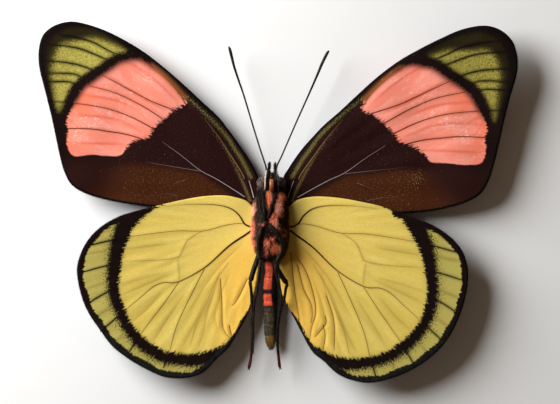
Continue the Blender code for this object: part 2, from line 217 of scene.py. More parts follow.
def store(mesh: bpy.types.Mesh, fields: Mapping[str, np.ndarray]) -> None:
    """Keeps numbers or vectors for each point of a mesh, for its material or its coat.

    Args:
        mesh: the mesh.
        fields: the values by name; an array of rows is stored as vectors.
    """
    for name, values in fields.items():
        old = mesh.attributes.get(name)
        if old:
            mesh.attributes.remove(old)
        kind, key = ("FLOAT_VECTOR", "vector") if values.ndim == 2 else ("FLOAT", "value")
        layer = mesh.attributes.new(name, kind, "POINT")
        layer.data.foreach_set(key, values.astype(np.float32).ravel())


def merge(name: str, objects: Sequence[Thing]) -> Thing:
    """Joins several objects in one, which keeps their point values and materials.

    Args:
        name: the name of the result.
        objects: the objects, which are used up.

    Returns:
        The joined object.
    """
    target = objects[0]
    target.name = target.data.name = name
    with bpy.context.temp_override(
        active_object=target, object=target, selected_editable_objects=list(objects)
    ):
        bpy.ops.object.join()
    return target


@dataclass
class Strand:
    """A path through space with values along it, from which a slender piece is drawn."""

    points: np.ndarray
    values: Fields

    @classmethod
    def through(cls, rows: Rows, step: float) -> "Strand":
        """Draws a strand through rows of x, y, z and radius.

        Args:
            rows: the given rows.
            step: distance between two points of the strand.

        Returns:
            The strand, with its radius as the value named girth.
        """
        line = smooth_line(rows, step, space=3)
        share = np.linspace(0.0, 1.0, len(line))
        return cls(line[:, :3], {"girth": line[:, 3] * MM, "share": share})


def strand_object(name: str, strands: Sequence[Strand]) -> Thing:
    """Makes one object of bare edges from several strands.

    Args:
        name: the object's name.
        strands: the strands, which all hold the same values.

    Returns:
        The object, with the strands' values on its points.
    """
    counts = [len(strand.points) for strand in strands]
    first = np.concatenate([[0], np.cumsum(counts)[:-1]])
    edges = [(i, i + 1) for f, n in zip(first, counts) for i in range(f, f + n - 1)]
    mesh = bpy.data.meshes.new(name)
    points = np.vstack([strand.points for strand in strands]) * MM
    mesh.from_pydata(points.tolist(), edges, [])
    names = strands[0].values
    store(mesh, {key: np.concatenate([s.values[key] for s in strands]) for key in names})
    return add_object(name, mesh)


def rounded_shell(
    name: str, centre: Sequence[float], half: Sequence[float], power: float, faces: int
) -> Thing:
    """Makes a ball pushed out towards a box, with its poles to the front and back.

    Args:
        name: the object's name.
        centre: its middle.
        half: half its size along X, Y and Z.
        power: 2 for an ellipsoid, and more for a boxier form.
        faces: how many faces go round it.

    Returns:
        The object.
    """
    bm = bmesh.new()
    bmesh.ops.create_uvsphere(bm, u_segments=faces, v_segments=faces * 2 // 3, radius=1.0)
    for vertex in bm.verts:
        x, z, y = vertex.co
        length = (abs(x) ** power + abs(y) ** power + abs(z) ** power) ** (1 / power)
        vertex.co = [(c + h * a / length) * MM for c, h, a in zip(centre, half, (x, -y, z))]
    bmesh.ops.recalc_face_normals(bm, faces=bm.faces)
    mesh = bpy.data.meshes.new(name)
    bm.to_mesh(mesh)
    bm.free()
    mesh.shade_smooth()
    return add_object(name, mesh)


# Nodes


def add_node(
    tree: Tree, kind: str, links: Mapping[Any, Any] | None = None, **settings: Any
) -> bpy.types.Node:
    """Adds a node with its settings and its inputs.

    Args:
        tree: the tree that takes the node.
        kind: the node's type in Blender.
        links: for each input, by name or number, the socket that feeds it or its value.
        settings: the node's own properties.

    Returns:
        The node.
    """
    node = tree.nodes.new(kind)
    for name, value in settings.items():
        setattr(node, name, value)
    for key, value in (links or {}).items():
        if isinstance(value, bpy.types.NodeSocket):
            tree.links.new(value, node.inputs[key])
        else:
            node.inputs[key].default_value = value
    return node


def open_tree(name: str, inputs: Sequence[tuple[str, str]]) -> tuple[Any, Any, Any]:
    """Starts a tree of geometry nodes with named inputs.

    Args:
        name: the tree's name.
        inputs: each input's name and socket type, past the geometry itself.

    Returns:
        The tree, its input node's outputs and its output node.
    """
    tree = bpy.data.node_groups.new(name, "GeometryNodeTree")
    for label, kind in (("Geometry", "NodeSocketGeometry"), *inputs):
        tree.interface.new_socket(label, in_out="INPUT", socket_type=kind)
    tree.interface.new_socket("Geometry", in_out="OUTPUT", socket_type="NodeSocketGeometry")
    return tree, add_node(tree, "NodeGroupInput").outputs, add_node(tree, "NodeGroupOutput")


def close_tree(tree: Any, geometry: Any, material: Any, output: Any) -> None:
    """Ends a tree of geometry nodes with real, smooth, dressed geometry.

    Args:
        tree: the tree.
        geometry: the socket with what was made.
        material: the socket with its material.
        output: the tree's output node.
    """
    real = add_node(tree, "GeometryNodeRealizeInstances", {"Geometry": geometry})
    smooth = add_node(tree, "GeometryNodeSetShadeSmooth", {"Geometry": real.outputs[0]})
    dressed = add_node(
        tree, "GeometryNodeSetMaterial", {"Geometry": smooth.outputs[0], "Material": material}
    )
    tree.links.new(dressed.outputs[0], output.inputs[0])


def grow(source: Thing, tree: Any, name: str, **values: Any) -> Thing:
    """Runs a tree of geometry nodes on an object and keeps the result as a plain mesh.

    Args:
        source: the object that the tree starts from; it is left as it is.
        tree: the tree.
        name: the name of the result.
        values: the tree's inputs by name, with _ for a space.

    Returns:
        A new object with the result.
    """
    modifier = source.modifiers.new(tree.name, "NODES")
    modifier.node_group = tree
    for item in tree.interface.items_tree:
        key = item.name.replace(" ", "_").lower()
        if item.in_out == "INPUT" and key in values:
            modifier[item.identifier] = values[key]
    bpy.context.view_layer.update()
    graph = bpy.context.evaluated_depsgraph_get()
    mesh = bpy.data.meshes.new_from_object(source.evaluated_get(graph))
    source.modifiers.remove(modifier)
    mesh.name = name
    return add_object(name, mesh)


def rod_tree() -> Tree:
    """Builds the tree that draws a round rod of changing thickness along each path.

    Returns:
        The tree, whose paths carry their radius as girth.
    """
    tree, given, output = open_tree(
        "rod along a path", [("Sides", "NodeSocketInt"), ("Material", "NodeSocketMaterial")]
    )
    path = add_node(tree, "GeometryNodeMeshToCurve", {"Mesh": given["Geometry"]})
    ring = add_node(
        tree, "GeometryNodeCurvePrimitiveCircle", {"Resolution": given["Sides"], "Radius": 1.0}
    )
    girth = add_node(tree, "GeometryNodeInputNamedAttribute", {"Name": "girth"})
    rod = add_node(tree, "GeometryNodeCurveToMesh", {
        "Curve": path.outputs[0], "Profile Curve": ring.outputs[0],
        "Scale": girth.outputs[0], "Fill Caps": True,
    })
    close_tree(tree, rod.outputs[0], given["Material"], output)
    return tree


def stand_hairs(
    tree: Tree, given: Any, roots: Any, aim: Any, longest: Any, rows: int
) -> tuple[Any, Any]:
    """Adds a pointed cone of random length on each root, with its height kept as tip.

    Args:
        tree: the tree of geometry nodes.
        given: the sockets that the tree takes in, with Thickness and Seed.
        roots: the socket with the roots.
        aim: the socket with the way that the hairs point.
        longest: the socket with the greatest length.
        rows: faces along a hair.

    Returns:
        Sockets with the hairs, and with the share that each has of its greatest length.
    """
    cone = add_node(tree, "GeometryNodeMeshCone", {
        "Vertices": 3, "Side Segments": rows, "Radius Top": 0.12, "Radius Bottom": 1.0,
        "Depth": 1.0,
    })
    place = add_node(tree, "GeometryNodeInputPosition")
    height = add_node(tree, "ShaderNodeSeparateXYZ", {0: place.outputs[0]})
    kept = add_node(tree, "GeometryNodeStoreNamedAttribute", {
        "Geometry": cone.outputs[0], "Name": "tip", "Value": height.outputs["Z"],
    }, data_type="FLOAT", domain="POINT")
    turned = add_node(tree, "FunctionNodeAlignRotationToVector", {"Vector": aim}, axis="Z")
    share = add_node(tree, "FunctionNodeRandomValue", {
        RANDOM_LOW: 0.5, RANDOM_HIGH: 1.0, RANDOM_SEED: given["Seed"],
    }).outputs[RANDOM_OUT]
    length = add_node(tree, "ShaderNodeMath", {0: longest, 1: share}, operation="MULTIPLY")
    size = add_node(tree, "ShaderNodeCombineXYZ", {
        "X": given["Thickness"], "Y": given["Thickness"], "Z": length.outputs[0],
    })
    hairs = add_node(tree, "GeometryNodeInstanceOnPoints", {
        "Points": roots, "Instance": kept.outputs[0],
        "Rotation": turned.outputs[0], "Scale": size.outputs[0],
    })
    return hairs.outputs[0], share


def coat_tree() -> Tree:
    """Builds the tree that grows hairs or narrow scales on a skin.

    The skin carries flow, the way that hairs lie, cover, how many grow, and reach, how long.

    Returns:
        The tree.
    """
    tree, given, output = open_tree("coat of hair", [
        ("Density", "NodeSocketFloat"), ("Length", "NodeSocketFloat"),
        ("Thickness", "NodeSocketFloat"), ("Lean", "NodeSocketFloat"),
        ("Spread", "NodeSocketFloat"), ("Curl", "NodeSocketFloat"),
        ("Seed", "NodeSocketInt"), ("Material", "NodeSocketMaterial"),
    ])
    cover = add_node(tree, "GeometryNodeInputNamedAttribute", {"Name": "cover"})
    reach = add_node(tree, "GeometryNodeInputNamedAttribute", {"Name": "reach"})
    flow = add_node(
        tree, "GeometryNodeInputNamedAttribute", {"Name": "flow"}, data_type="FLOAT_VECTOR"
    )
    amount = add_node(
        tree, "ShaderNodeMath", {0: given["Density"], 1: cover.outputs[0]}, operation="MULTIPLY"
    )
    roots = add_node(tree, "GeometryNodeDistributePointsOnFaces", {
        "Mesh": given["Geometry"], "Density": amount.outputs[0], "Seed": given["Seed"],
    })
    laid = add_node(
        tree, "ShaderNodeVectorMath", {0: flow.outputs[0], "Scale": given["Lean"]},
        operation="SCALE",
    )
    stray = add_node(tree, "FunctionNodeRandomValue", {
        0: (-1.0, -1.0, -1.0), 1: (1.0, 1.0, 1.0), RANDOM_SEED: given["Seed"],
    }, data_type="FLOAT_VECTOR")
    strayed = add_node(
        tree, "ShaderNodeVectorMath", {0: stray.outputs[0], "Scale": given["Spread"]},
        operation="SCALE",
    )
    aim = add_node(
        tree, "ShaderNodeVectorMath", {0: roots.outputs["Normal"], 1: laid.outputs[0]},
        operation="ADD",
    )
    aim = add_node(
        tree, "ShaderNodeVectorMath", {0: aim.outputs[0], 1: strayed.outputs[0]}, operation="ADD"
    )
    longest = add_node(
        tree, "ShaderNodeMath", {0: given["Length"], 1: reach.outputs[0]}, operation="MULTIPLY"
    )
    hairs, share = stand_hairs(
        tree, given, roots.outputs["Points"], aim.outputs[0], longest.outputs[0], 2
    )
    tone = add_node(tree, "GeometryNodeStoreNamedAttribute", {
        "Geometry": hairs, "Name": "tone", "Value": share,
    }, data_type="FLOAT", domain="INSTANCE")
    real = add_node(tree, "GeometryNodeRealizeInstances", {"Geometry": tone.outputs[0]})
    tip = add_node(tree, "GeometryNodeInputNamedAttribute", {"Name": "tip"})
    bent = add_node(
        tree, "ShaderNodeMath", {0: tip.outputs[0], 1: tip.outputs[0]}, operation="MULTIPLY"
    )
    bent = add_node(
        tree, "ShaderNodeMath", {0: bent.outputs[0], 1: given["Curl"]}, operation="MULTIPLY"
    )
    sway = add_node(
        tree, "ShaderNodeVectorMath", {0: flow.outputs[0], "Scale": bent.outputs[0]},
        operation="SCALE",
    )
    curled = add_node(
        tree, "GeometryNodeSetPosition", {"Geometry": real.outputs[0], "Offset": sway.outputs[0]}
    )
    close_tree(tree, curled.outputs[0], given["Material"], output)
    return tree


def bristle_tree() -> Tree:
    """Builds the tree that sets bristles along paths, such as a leg or a wing's edge.

    A path carries aim, the way that its bristles point. Side makes them stand out all round
    the path instead, and Lean lays them towards the path's end.

    Returns:
        The tree.
    """
    tree, given, output = open_tree("bristles along a path", [
        ("Spacing", "NodeSocketFloat"), ("Length", "NodeSocketFloat"),
        ("Thickness", "NodeSocketFloat"), ("Side", "NodeSocketFloat"),
        ("Lean", "NodeSocketFloat"), ("Seed", "NodeSocketInt"),
        ("Material", "NodeSocketMaterial"),
    ])
    path = add_node(tree, "GeometryNodeMeshToCurve", {"Mesh": given["Geometry"]})
    roots = add_node(tree, "GeometryNodeCurveToPoints", {
        "Curve": path.outputs[0], "Length": given["Spacing"],
    }, mode="LENGTH")
    aim = add_node(
        tree, "GeometryNodeInputNamedAttribute", {"Name": "aim"}, data_type="FLOAT_VECTOR"
    )
    stray = add_node(tree, "FunctionNodeRandomValue", {
        0: (-1.0, -1.0, -1.0), 1: (1.0, 1.0, 1.0), RANDOM_SEED: given["Seed"],
    }, data_type="FLOAT_VECTOR")
    across = add_node(
        tree, "ShaderNodeVectorMath", {0: roots.outputs["Tangent"], 1: stray.outputs[0]},
        operation="CROSS_PRODUCT",
    )
    unit = add_node(tree, "ShaderNodeVectorMath", {0: across.outputs[0]}, operation="NORMALIZE")
    sideways = add_node(
        tree, "ShaderNodeVectorMath", {0: unit.outputs[0], "Scale": given["Side"]},
        operation="SCALE",
    )
    forward = add_node(
        tree, "ShaderNodeVectorMath", {0: roots.outputs["Tangent"], "Scale": given["Lean"]},
        operation="SCALE",
    )
    total = add_node(
        tree, "ShaderNodeVectorMath", {0: aim.outputs[0], 1: sideways.outputs[0]},
        operation="ADD",
    )
    total = add_node(
        tree, "ShaderNodeVectorMath", {0: total.outputs[0], 1: forward.outputs[0]},
        operation="ADD",
    )
    hairs, _ = stand_hairs(
        tree, given, roots.outputs["Points"], total.outputs[0], given["Length"], 1
    )
    close_tree(tree, hairs, given["Material"], output)
    return tree


def facet_tree() -> Tree:
    """Builds the tree that sets one small lens on each point of a ball, as in a compound eye.

    Returns:
        The tree.
    """
    tree, given, output = open_tree(
        "lenses of an eye", [("Lens", "NodeSocketFloat"), ("Material", "NodeSocketMaterial")]
    )
    lens = add_node(
        tree, "GeometryNodeMeshIcoSphere", {"Radius": given["Lens"], "Subdivisions": 2}
    )
    lenses = add_node(tree, "GeometryNodeInstanceOnPoints", {
        "Points": given["Geometry"], "Instance": lens.outputs[0],
    })
    both = add_node(tree, "GeometryNodeJoinGeometry")
    tree.links.new(given["Geometry"], both.inputs[0])
    tree.links.new(lenses.outputs[0], both.inputs[0])
    close_tree(tree, both.outputs[0], given["Material"], output)
    return tree


# Finishes


def linear(colour: str) -> tuple[float, float, float, float]:
    """Turns an sRGB hex colour into Blender's linear colour.

    Args:
        colour: six hex digits after a #.

    Returns:
        Red, green, blue and alpha.
    """
    parts = [int(colour[i:i + 2], 16) / 255 for i in (1, 3, 5)]
    flat = [c / 12.92 if c <= 0.04045 else ((c + 0.055) / 1.055) ** 2.4 for c in parts]
    return (*flat, 1.0)


@dataclass(frozen=True)
class Finish:
    """What all finishes share: a named material around one Principled shader.

    Reads names the values that it takes from the mesh's points, and relief says how far its
    pattern stands out, in millimetres.
    """

    name: str
    roughness: float
    specular: float = 0.5
    relief: float = 0.0
    reads: tuple[str, ...] = ()

    def paint(self, tree: Tree, point: dict[str, Any]) -> tuple[Any, Any]:
        """Adds the nodes of the pattern; each finish has its own.

        Args:
            tree: the material's tree.
            point: sockets with the place and the values of a point, by name.

        Returns:
            Sockets with the colour, and with what stands out.
        """
        raise NotImplementedError

    def build(self) -> Material:
        """Makes the material.

        Returns:
            The material.
        """
        made = bpy.data.materials.new(self.name)
        made.use_nodes = True
        tree = made.node_tree
        shader = tree.nodes["Principled BSDF"]
        shader.inputs["Roughness"].default_value = self.roughness
        shader.inputs["Specular IOR Level"].default_value = self.specular
        point = {"place": add_node(tree, "ShaderNodeTexCoord").outputs["Object"]}
        for name in self.reads:
            node = add_node(tree, "ShaderNodeAttribute", attribute_name=name)
            point[name] = node.outputs["Vector" if name == "grain" else "Fac"]
        colour, pattern = self.paint(tree, point)
        tree.links.new(colour, shader.inputs["Base Color"])
        if self.relief:
            bump = add_node(tree, "ShaderNodeBump", {
                "Height": pattern, "Distance": self.relief * MM, "Strength": 1.0,
            })
            tree.links.new(bump.outputs[0], shader.inputs["Normal"])
        return made


def streaks(tree: Tree, place: Any, across: float, along: float, detail: float = 2.0) -> Any:
    """Adds a noise that is drawn out along a wing's rays.

    Args:
        tree: the material's tree.
        place: the socket with the place in millimetres, across and along the rays.
        across: width of a fleck in millimetres.
        along: length of a fleck in millimetres.
        detail: how much finer noise lies on it.

    Returns:
        The socket with a number around 0.5.
    """
    scaled = add_node(tree, "ShaderNodeMapping", {
        "Vector": place, "Scale": (1 / across, 1 / along, 1 / across),
    })
    noise = add_node(tree, "ShaderNodeTexNoise", {
        "Vector": scaled.outputs[0], "Scale": 1.0, "Detail": detail, "Roughness": 0.6,
    })
    return noise.outputs[0]


def frayed(
    tree: Tree, depth: Any, noise: Any, reach: Any, blur: float, level: float = 0.0
) -> Any:
    """Turns a depth inside an outline, or a share of cover, into a mask with a frayed edge.

    Args:
        tree: the material's tree.
        depth: the socket with the depth in millimetres, or with the share.
        noise: the socket with a number around 0.5 that frays the edge.
        reach: how far the edge wanders, a number or a socket.
        blur: how wide its soft rim is.
        level: where the edge lies; 0 is the outline itself.

    Returns:
        The socket with the mask.
    """
    swing = add_node(tree, "ShaderNodeMath", {0: noise, 1: 3.0, 2: -1.5}, operation="MULTIPLY_ADD")
    wander = add_node(tree, "ShaderNodeMath", {
        0: swing.outputs[0], 1: reach, 2: -level,
    }, operation="MULTIPLY_ADD")
    moved = add_node(tree, "ShaderNodeMath", {0: depth, 1: wander.outputs[0]}, operation="ADD")
    mask = add_node(tree, "ShaderNodeMapRange", {
        "Value": moved.outputs[0], "From Min": -blur, "From Max": blur,
    }, interpolation_type="SMOOTHSTEP")
    return mask.outputs[0]


def product(tree: Tree, *factors: Any) -> Any:
    """Multiplies masks with each other.

    Args:
        tree: the material's tree.
        factors: sockets or numbers.

    Returns:
        The socket with the product.
    """
    result = factors[0]
    for factor in factors[1:]:
        result = add_node(
            tree, "ShaderNodeMath", {0: result, 1: factor}, operation="MULTIPLY", use_clamp=True
        ).outputs[0]
    return result


def coats(tree: Tree, ground: Any, layers: Sequence[tuple[Any, Any]]) -> Any:
    """Lays colours over each other, as scales of several colours lie on a wing.

    Args:
        tree: the material's tree.
        ground: the lowest colour, a hex value or a socket.
        layers: for each further one its mask, and its colour as a hex value or a socket.

    Returns:
        The socket with the colour.
    """
    below = linear(ground) if isinstance(ground, str) else ground
    for mask, colour in layers:
        above = linear(colour) if isinstance(colour, str) else colour
        mixed = add_node(tree, "ShaderNodeMix", {
            MIX_FACTOR: mask, MIX_BELOW: below, MIX_ABOVE: above,
        }, data_type="RGBA")
        below = mixed.outputs[MIX_RESULT]
    return below


def scale_rows(tree: Tree, grain: Any, width: float, length: float) -> tuple[Any, Any]:
    """Adds the cover of tiny overlapping scales that lie in rows along a wing's rays.

    Args:
        tree: the material's tree.
        grain: the socket with the place in millimetres, across and along the rays.
        width: a scale's width; the real ones are about 0.1 mm, too fine to show.
        length: a scale's length.

    Returns:
        Sockets with a random number for each scale, and with its height.
    """
    scaled = add_node(tree, "ShaderNodeMapping", {
        "Vector": grain, "Scale": (1 / width, 1 / length, 1.0),
    })
    cells = add_node(
        tree, "ShaderNodeTexVoronoi", {"Vector": scaled.outputs[0], "Scale": 1.0},
        voronoi_dimensions="2D",
    )
    split = add_node(tree, "ShaderNodeSeparateColor", {0: cells.outputs["Color"]})
    return split.outputs[0], cells.outputs["Distance"]


@dataclass(frozen=True)
class ForewingScales(Finish):
    """Butterfly wing scales, grown: a matt dark brown with a coral patch and an olive tip."""

    name: str = "forewing scales, grown"
    roughness: float = 0.75
    specular: float = 0.06
    relief: float = -0.02
    reads: tuple[str, ...] = (
        "accent", "back", "base", "black", "brown", "costa", "crease", "dim", "dusk", "dust",
        "fray", "gold", "grain", "margin", "outer", "patch", "shine", "tip", "vein_shade", "vein",
    )
    dark: str = "#220C0C"
    brown: str = "#46210B"
    umber: str = "#2E140B"
    fleck: str = "#A98A52"
    gold: str = "#77703F"
    olive: str = "#BDB257"
    coral: str = "#F28C77"
    # coral_light and glint are painted highlights on the coral
    coral_light: str = "#FBB3A6"
    coral_deep: str = "#EE7450"
    smoke: str = "#A8584A"
    glint: str = "#FFD8CC"
    moss: str = "#857A32"
    bark: str = "#35260F"
    costa: str = "#A0602F"
    # fold: painted shade along the creases
    fold: str = "#CF4F30"
    black: str = "#0D0706"
    vein_pale: str = "#D5CBCB"
    vein_brown: str = "#74301A"
    upper_black: str = "#0F0F16"
    upper_blue: str = "#1D3C7A"
    upper_pink: str = "#E4566A"
    upper_soot: str = "#0A0A10"

    def paint(self, tree: Tree, point: dict[str, Any]) -> tuple[Any, Any]:
        """Adds the nodes of the pattern: flecks and frayed edges look like single scales.

        Args:
            tree: the material's tree.
            point: sockets with the place and the values of a point, by name.

        Returns:
            Sockets with the colour, and with each scale's height.
        """
        grain, vein_shade, vein, accent = (point[name] for name in ("grain", "vein_shade", "vein", "accent"))
        dim, dusk, gold = point["dim"], point["dusk"], point["gold"]
        tone, height = scale_rows(tree, grain, 0.16, 0.26)
        fine, hairs = streaks(tree, grain, 0.2, 0.5), streaks(tree, grain, 0.13, 1.1)
        wide, dots = streaks(tree, grain, 1.5, 7.0, 3.0), streaks(tree, grain, 0.18, 0.22, 1.0)
        patch = frayed(tree, point["patch"], hairs, point["fray"], 0.15)
        tip = frayed(tree, point["tip"], dots, 0.7, 0.45)
        # Painted highlights: these patches lighten the coral, and near white glint streaks lie on them in a
        # band through the patch
        sheen_patches = frayed(tree, wide, fine, 0.12, 0.08, 0.52)
        wrinkle_glints = frayed(tree, streaks(tree, grain, 0.16, 0.9), fine, 0.08, 0.03, 0.61)
        coral = coats(tree, self.coral, [
            (product(tree, point["outer"], 0.75), self.coral_deep),
            (product(tree, sheen_patches, 0.35), self.coral_light),
            # Painted shade: deeper orange along the creases
            (product(tree, point["crease"], 0.6), self.fold),
            (point["costa"], self.costa),
            (product(tree, tone, 0.12), self.coral_deep),
            (product(tree, dim, 0.75), self.smoke),
            (product(tree, dim, dim, 0.8), self.black),
            # Painted shade: a soft dark halo beside the veins
            (product(tree, vein_shade, 0.4), self.vein_brown),
            (product(tree, wrinkle_glints, sheen_patches, point["shine"], 0.8), self.glint),
        ])
        olive = coats(tree, self.olive, [
            (product(tree, tone, 0.5), self.moss),
            (product(tree, frayed(tree, dots, fine, 0.1, 0.06, 0.56), 0.4), self.bark),
            (dusk, self.moss),
            (product(tree, frayed(tree, dusk, dots, 0.8, 0.3, 0.55), 0.7), self.bark),
            # Painted shade beside the veins, in black on the olive tip
            (product(tree, vein_shade, 0.9), self.black),
            (product(tree, dusk, dusk, 0.85), self.black),
        ])
        flecks = frayed(tree, point["dust"], dots, 1.0, 0.06, 1.0)
        ground = coats(tree, self.dark, [
            (product(tree, point["brown"], 0.9), self.brown),
            (product(tree, frayed(tree, fine, wide, 0.12, 0.1, 0.5), 0.3), self.umber),
            (point["black"], self.black),
            (product(tree, point["costa"], 0.6), self.costa),
            (product(tree, flecks, 0.6), self.fleck),
            (product(tree, frayed(tree, gold, dots, 1.6, 0.15, 0.75), gold, 2.0), self.gold),
        ])
        colour = coats(tree, ground, [
            (tip, olive),
            (patch, coral),
            (frayed(tree, point["margin"], fine, 0.2, 0.2), self.black),
            (product(tree, vein, accent), self.vein_pale),
            (product(tree, accent, -1.0, vein), self.fleck),
            (product(tree, vein, patch), self.vein_brown),
            (product(tree, vein, tip), self.black),
        ])
        upper = coats(tree, self.upper_black, [
            (product(tree, point["base"], 0.85), self.upper_blue),
            (patch, self.upper_pink),
            (product(tree, tone, 0.25), self.upper_soot),
        ])
        return coats(tree, colour, [(point["back"], upper)]), height


@dataclass(frozen=True)
class HindwingScales(Finish):
    """Butterfly wing scales, grown: a matt warm yellow with a frayed black band."""

    name: str = "hindwing scales, grown"
    roughness: float = 0.8
    specular: float = 0.06
    relief: float = -0.02
    reads: tuple[str, ...] = (
        "accent", "back", "band", "beyond", "dull", "edge", "fold", "grain", "margin",
        "ripple", "root", "slate", "speck", "vein_shade", "vein", "warm",
    )
    yellow: str = "#DCC15D"
    shade: str = "#B59F42"
    light: str = "#E5CF74"
    # painted light near the hinge
    painted_root_light: str = "#FBDD74"
    warm: str = "#FDC655"
    # crease: painted shade along the creases and soft folds
    crease: str = "#7A4412"
    olive: str = "#BBB05F"
    moss: str = "#7D7638"
    black: str = "#130806"
    slate: str = "#1D2826"
    vein: str = "#664313"
    upper_blue: str = "#21488F"
    upper_navy: str = "#16326B"
    upper_black: str = "#0B0C12"

    def paint(self, tree: Tree, point: dict[str, Any]) -> tuple[Any, Any]:
        """Adds the nodes of the pattern: streaks follow the rays, and the band's edges are hairy.

        Args:
            tree: the material's tree.
            point: sockets with the place and the values of a point, by name.

        Returns:
            Sockets with the colour, and with each scale's height.
        """
        grain, speck, vein, vein_shade = (point[name] for name in ("grain", "speck", "vein", "vein_shade"))
        tone, height = scale_rows(tree, grain, 0.17, 0.28)
        coarse, wide = streaks(tree, grain, 0.5, 2.2), streaks(tree, grain, 1.4, 12.0)
        dots, hairs = streaks(tree, grain, 0.19, 0.22, 1.0), streaks(tree, grain, 0.2, 1.3)
        band = frayed(tree, point["band"], hairs, 0.85, 0.14)
        margin = frayed(tree, point["margin"], hairs, 0.4, 0.12)
        ground = coats(tree, self.yellow, [
            (product(tree, frayed(tree, wide, coarse, 0.06, 0.2, 0.52), 0.6), self.light),
            # Painted shade: the yellow is dulled along the soft folds, and browned along the creases and
            # soft folds
            (product(tree, point["dull"], 0.75), self.shade),
            # Painted light: the yellow is lightened near the hinge, against the shade that the body casts
            # there
            (product(tree, point["root"], 0.8), self.painted_root_light),
            (product(tree, point["warm"], 0.85), self.warm),
            (product(tree, point["fold"], 0.85), self.crease),
            (product(tree, tone, 0.25), self.shade),
            # Painted shade: a soft dark halo beside the veins
            (product(tree, vein_shade, 0.25), self.vein),
            (product(tree, speck, 0.9), self.moss),
        ])
        cells = coats(tree, self.olive, [
            (product(tree, tone, 0.4), self.shade),
            # Painted shade: darker lines along the ripples in the olive cells
            (product(tree, point["ripple"], 0.4), self.vein),
            (product(tree, speck, 0.6), self.moss),
            # Painted shade beside the veins, in black in the olive cells
            (product(tree, vein_shade, 0.7), self.black),
        ])
        colour = coats(tree, ground, [
            (point["beyond"], cells),
            (product(tree, frayed(tree, speck, dots, 0.33, 0.04, 0.48), 0.85), self.black),
            (product(tree, vein, 0.95), self.vein),
            (product(tree, vein, point["accent"]), self.black),
            (band, self.black),
            (margin, self.black),
            (product(tree, margin, point["slate"], tone, 0.6), self.slate),
        ])
        upper = coats(tree, self.upper_blue, [
            (product(tree, tone, 0.5), self.upper_navy),
            (point["edge"], self.upper_black),
        ])
        return coats(tree, colour, [(point["back"], upper)]), height


@dataclass(frozen=True)
class Fur(Finish):
    """Hair-like scales, grown: tufts from near black through red to pale pink tips; the pink is partly
    painted highlight.
    """

    name: str = "insect fur, grown"
    roughness: float = 0.6
    specular: float = 0.2
    relief: float = 0.05
    reads: tuple[str, ...] = ("pale", "red", "tan", "tone")
    dark: str = "#130A0A"
    maroon: str = "#38100F"
    deep: str = "#C9552F"
    red: str = "#FF9062"
    pink: str = "#FFBFA6"
    tan: str = "#6E5E45"

    def paint(self, tree: Tree, point: dict[str, Any]) -> tuple[Any, Any]:
        """Adds the nodes of the pattern, which is lighter towards the hairs' tips.

        Args:
            tree: the material's tree.
            point: sockets with the place and the values of a point, by name.

        Returns:
            Sockets with the colour, and with the clumps.
        """
        clumps = streaks(tree, point["place"], 0.45 * MM, 0.7 * MM, 3.0)
        locks = streaks(tree, point["place"], 0.22 * MM, 0.5 * MM)
        red, tone = point["red"], point["tone"]
        # Only the hairs that this picks take the bright red and the pink, which is partly painted highlight
        lit = frayed(tree, tone, locks, 0.35, 0.15, 0.5)
        colour = coats(tree, self.dark, [
            (product(tree, clumps, 0.8), self.maroon),
            (product(tree, point["tan"], tone), self.tan),
            (frayed(tree, red, clumps, 1.0, 0.2, 0.55), self.deep),
            (product(tree, frayed(tree, red, clumps, 1.1, 0.2, 0.7), lit), self.red),
            (product(tree, frayed(tree, point["pale"], locks, 1.1, 0.2, 0.6), lit), self.pink),
        ])
        return colour, clumps


@dataclass(frozen=True)
class AbdomenScales(Finish):
    """Short body scales, grown: coral red below, near black at the side, olive at the tail; the near black
    over the right half is partly painted shade.
    """

    name: str = "abdomen scales, grown"
    roughness: float = 0.6
    specular: float = 0.35
    relief: float = 0.03
    reads: tuple[str, ...] = ("olive", "red", "tan")
    red: str = "#FF7A55"
    black: str = "#1A1412"
    olive: str = "#57492F"
    grey: str = "#8C826C"
    tan: str = "#B08440"

    def paint(self, tree: Tree, point: dict[str, Any]) -> tuple[Any, Any]:
        """Adds the nodes of the pattern: the olive tail is mottled with grey.

        Args:
            tree: the material's tree.
            point: sockets with the place and the values of a point, by name.

        Returns:
            Sockets with the colour, and with the fine grain.
        """
        fine = streaks(tree, point["place"], 0.12 * MM, 0.3 * MM)
        coarse = streaks(tree, point["place"], 0.5 * MM, 0.8 * MM)
        mottle = frayed(tree, coarse, fine, 0.2, 0.1, 0.55)
        colour = coats(tree, self.black, [
            (product(tree, point["olive"], fine, 2.0), self.olive),
            (product(tree, point["olive"], mottle, 0.6), self.grey),
            (product(tree, point["tan"], 0.8), self.tan),
            (frayed(tree, point["red"], fine, 0.12, 0.08), self.red),
        ])
        return colour, fine


@dataclass(frozen=True)
class Cuticle(Finish):
    """Insect cuticle with a thin cover of scales, grown: dark, with a satin gleam."""

    name: str = "dark cuticle, grown"
    roughness: float = 0.5
    specular: float = 0.12
    relief: float = 0.03
    reads: tuple[str, ...] = ("pale", "tinge")
    dark: str = "#100A0B"
    worn: str = "#453A30"
    tinge: str = "#4E170F"
    pale: str = "#E8D9C8"

    def paint(self, tree: Tree, point: dict[str, Any]) -> tuple[Any, Any]:
        """Adds the nodes of the pattern: worn patches, a red tinge and pale scales.

        Args:
            tree: the material's tree.
            point: sockets with the place and the values of a point, by name.

        Returns:
            Sockets with the colour, and with the fine grain.
        """
        fine = streaks(tree, point["place"], 0.1 * MM, 0.35 * MM)
        patchy = streaks(tree, point["place"], 0.5 * MM, 1.2 * MM)
        colour = coats(tree, self.dark, [
            (product(tree, frayed(tree, patchy, fine, 0.25, 0.1, 0.58), 0.5), self.worn),
            (product(tree, point["tinge"], 0.85), self.tinge),
            (frayed(tree, point["pale"], fine, 0.3, 0.2, 0.5), self.pale),
        ])
        return colour, fine


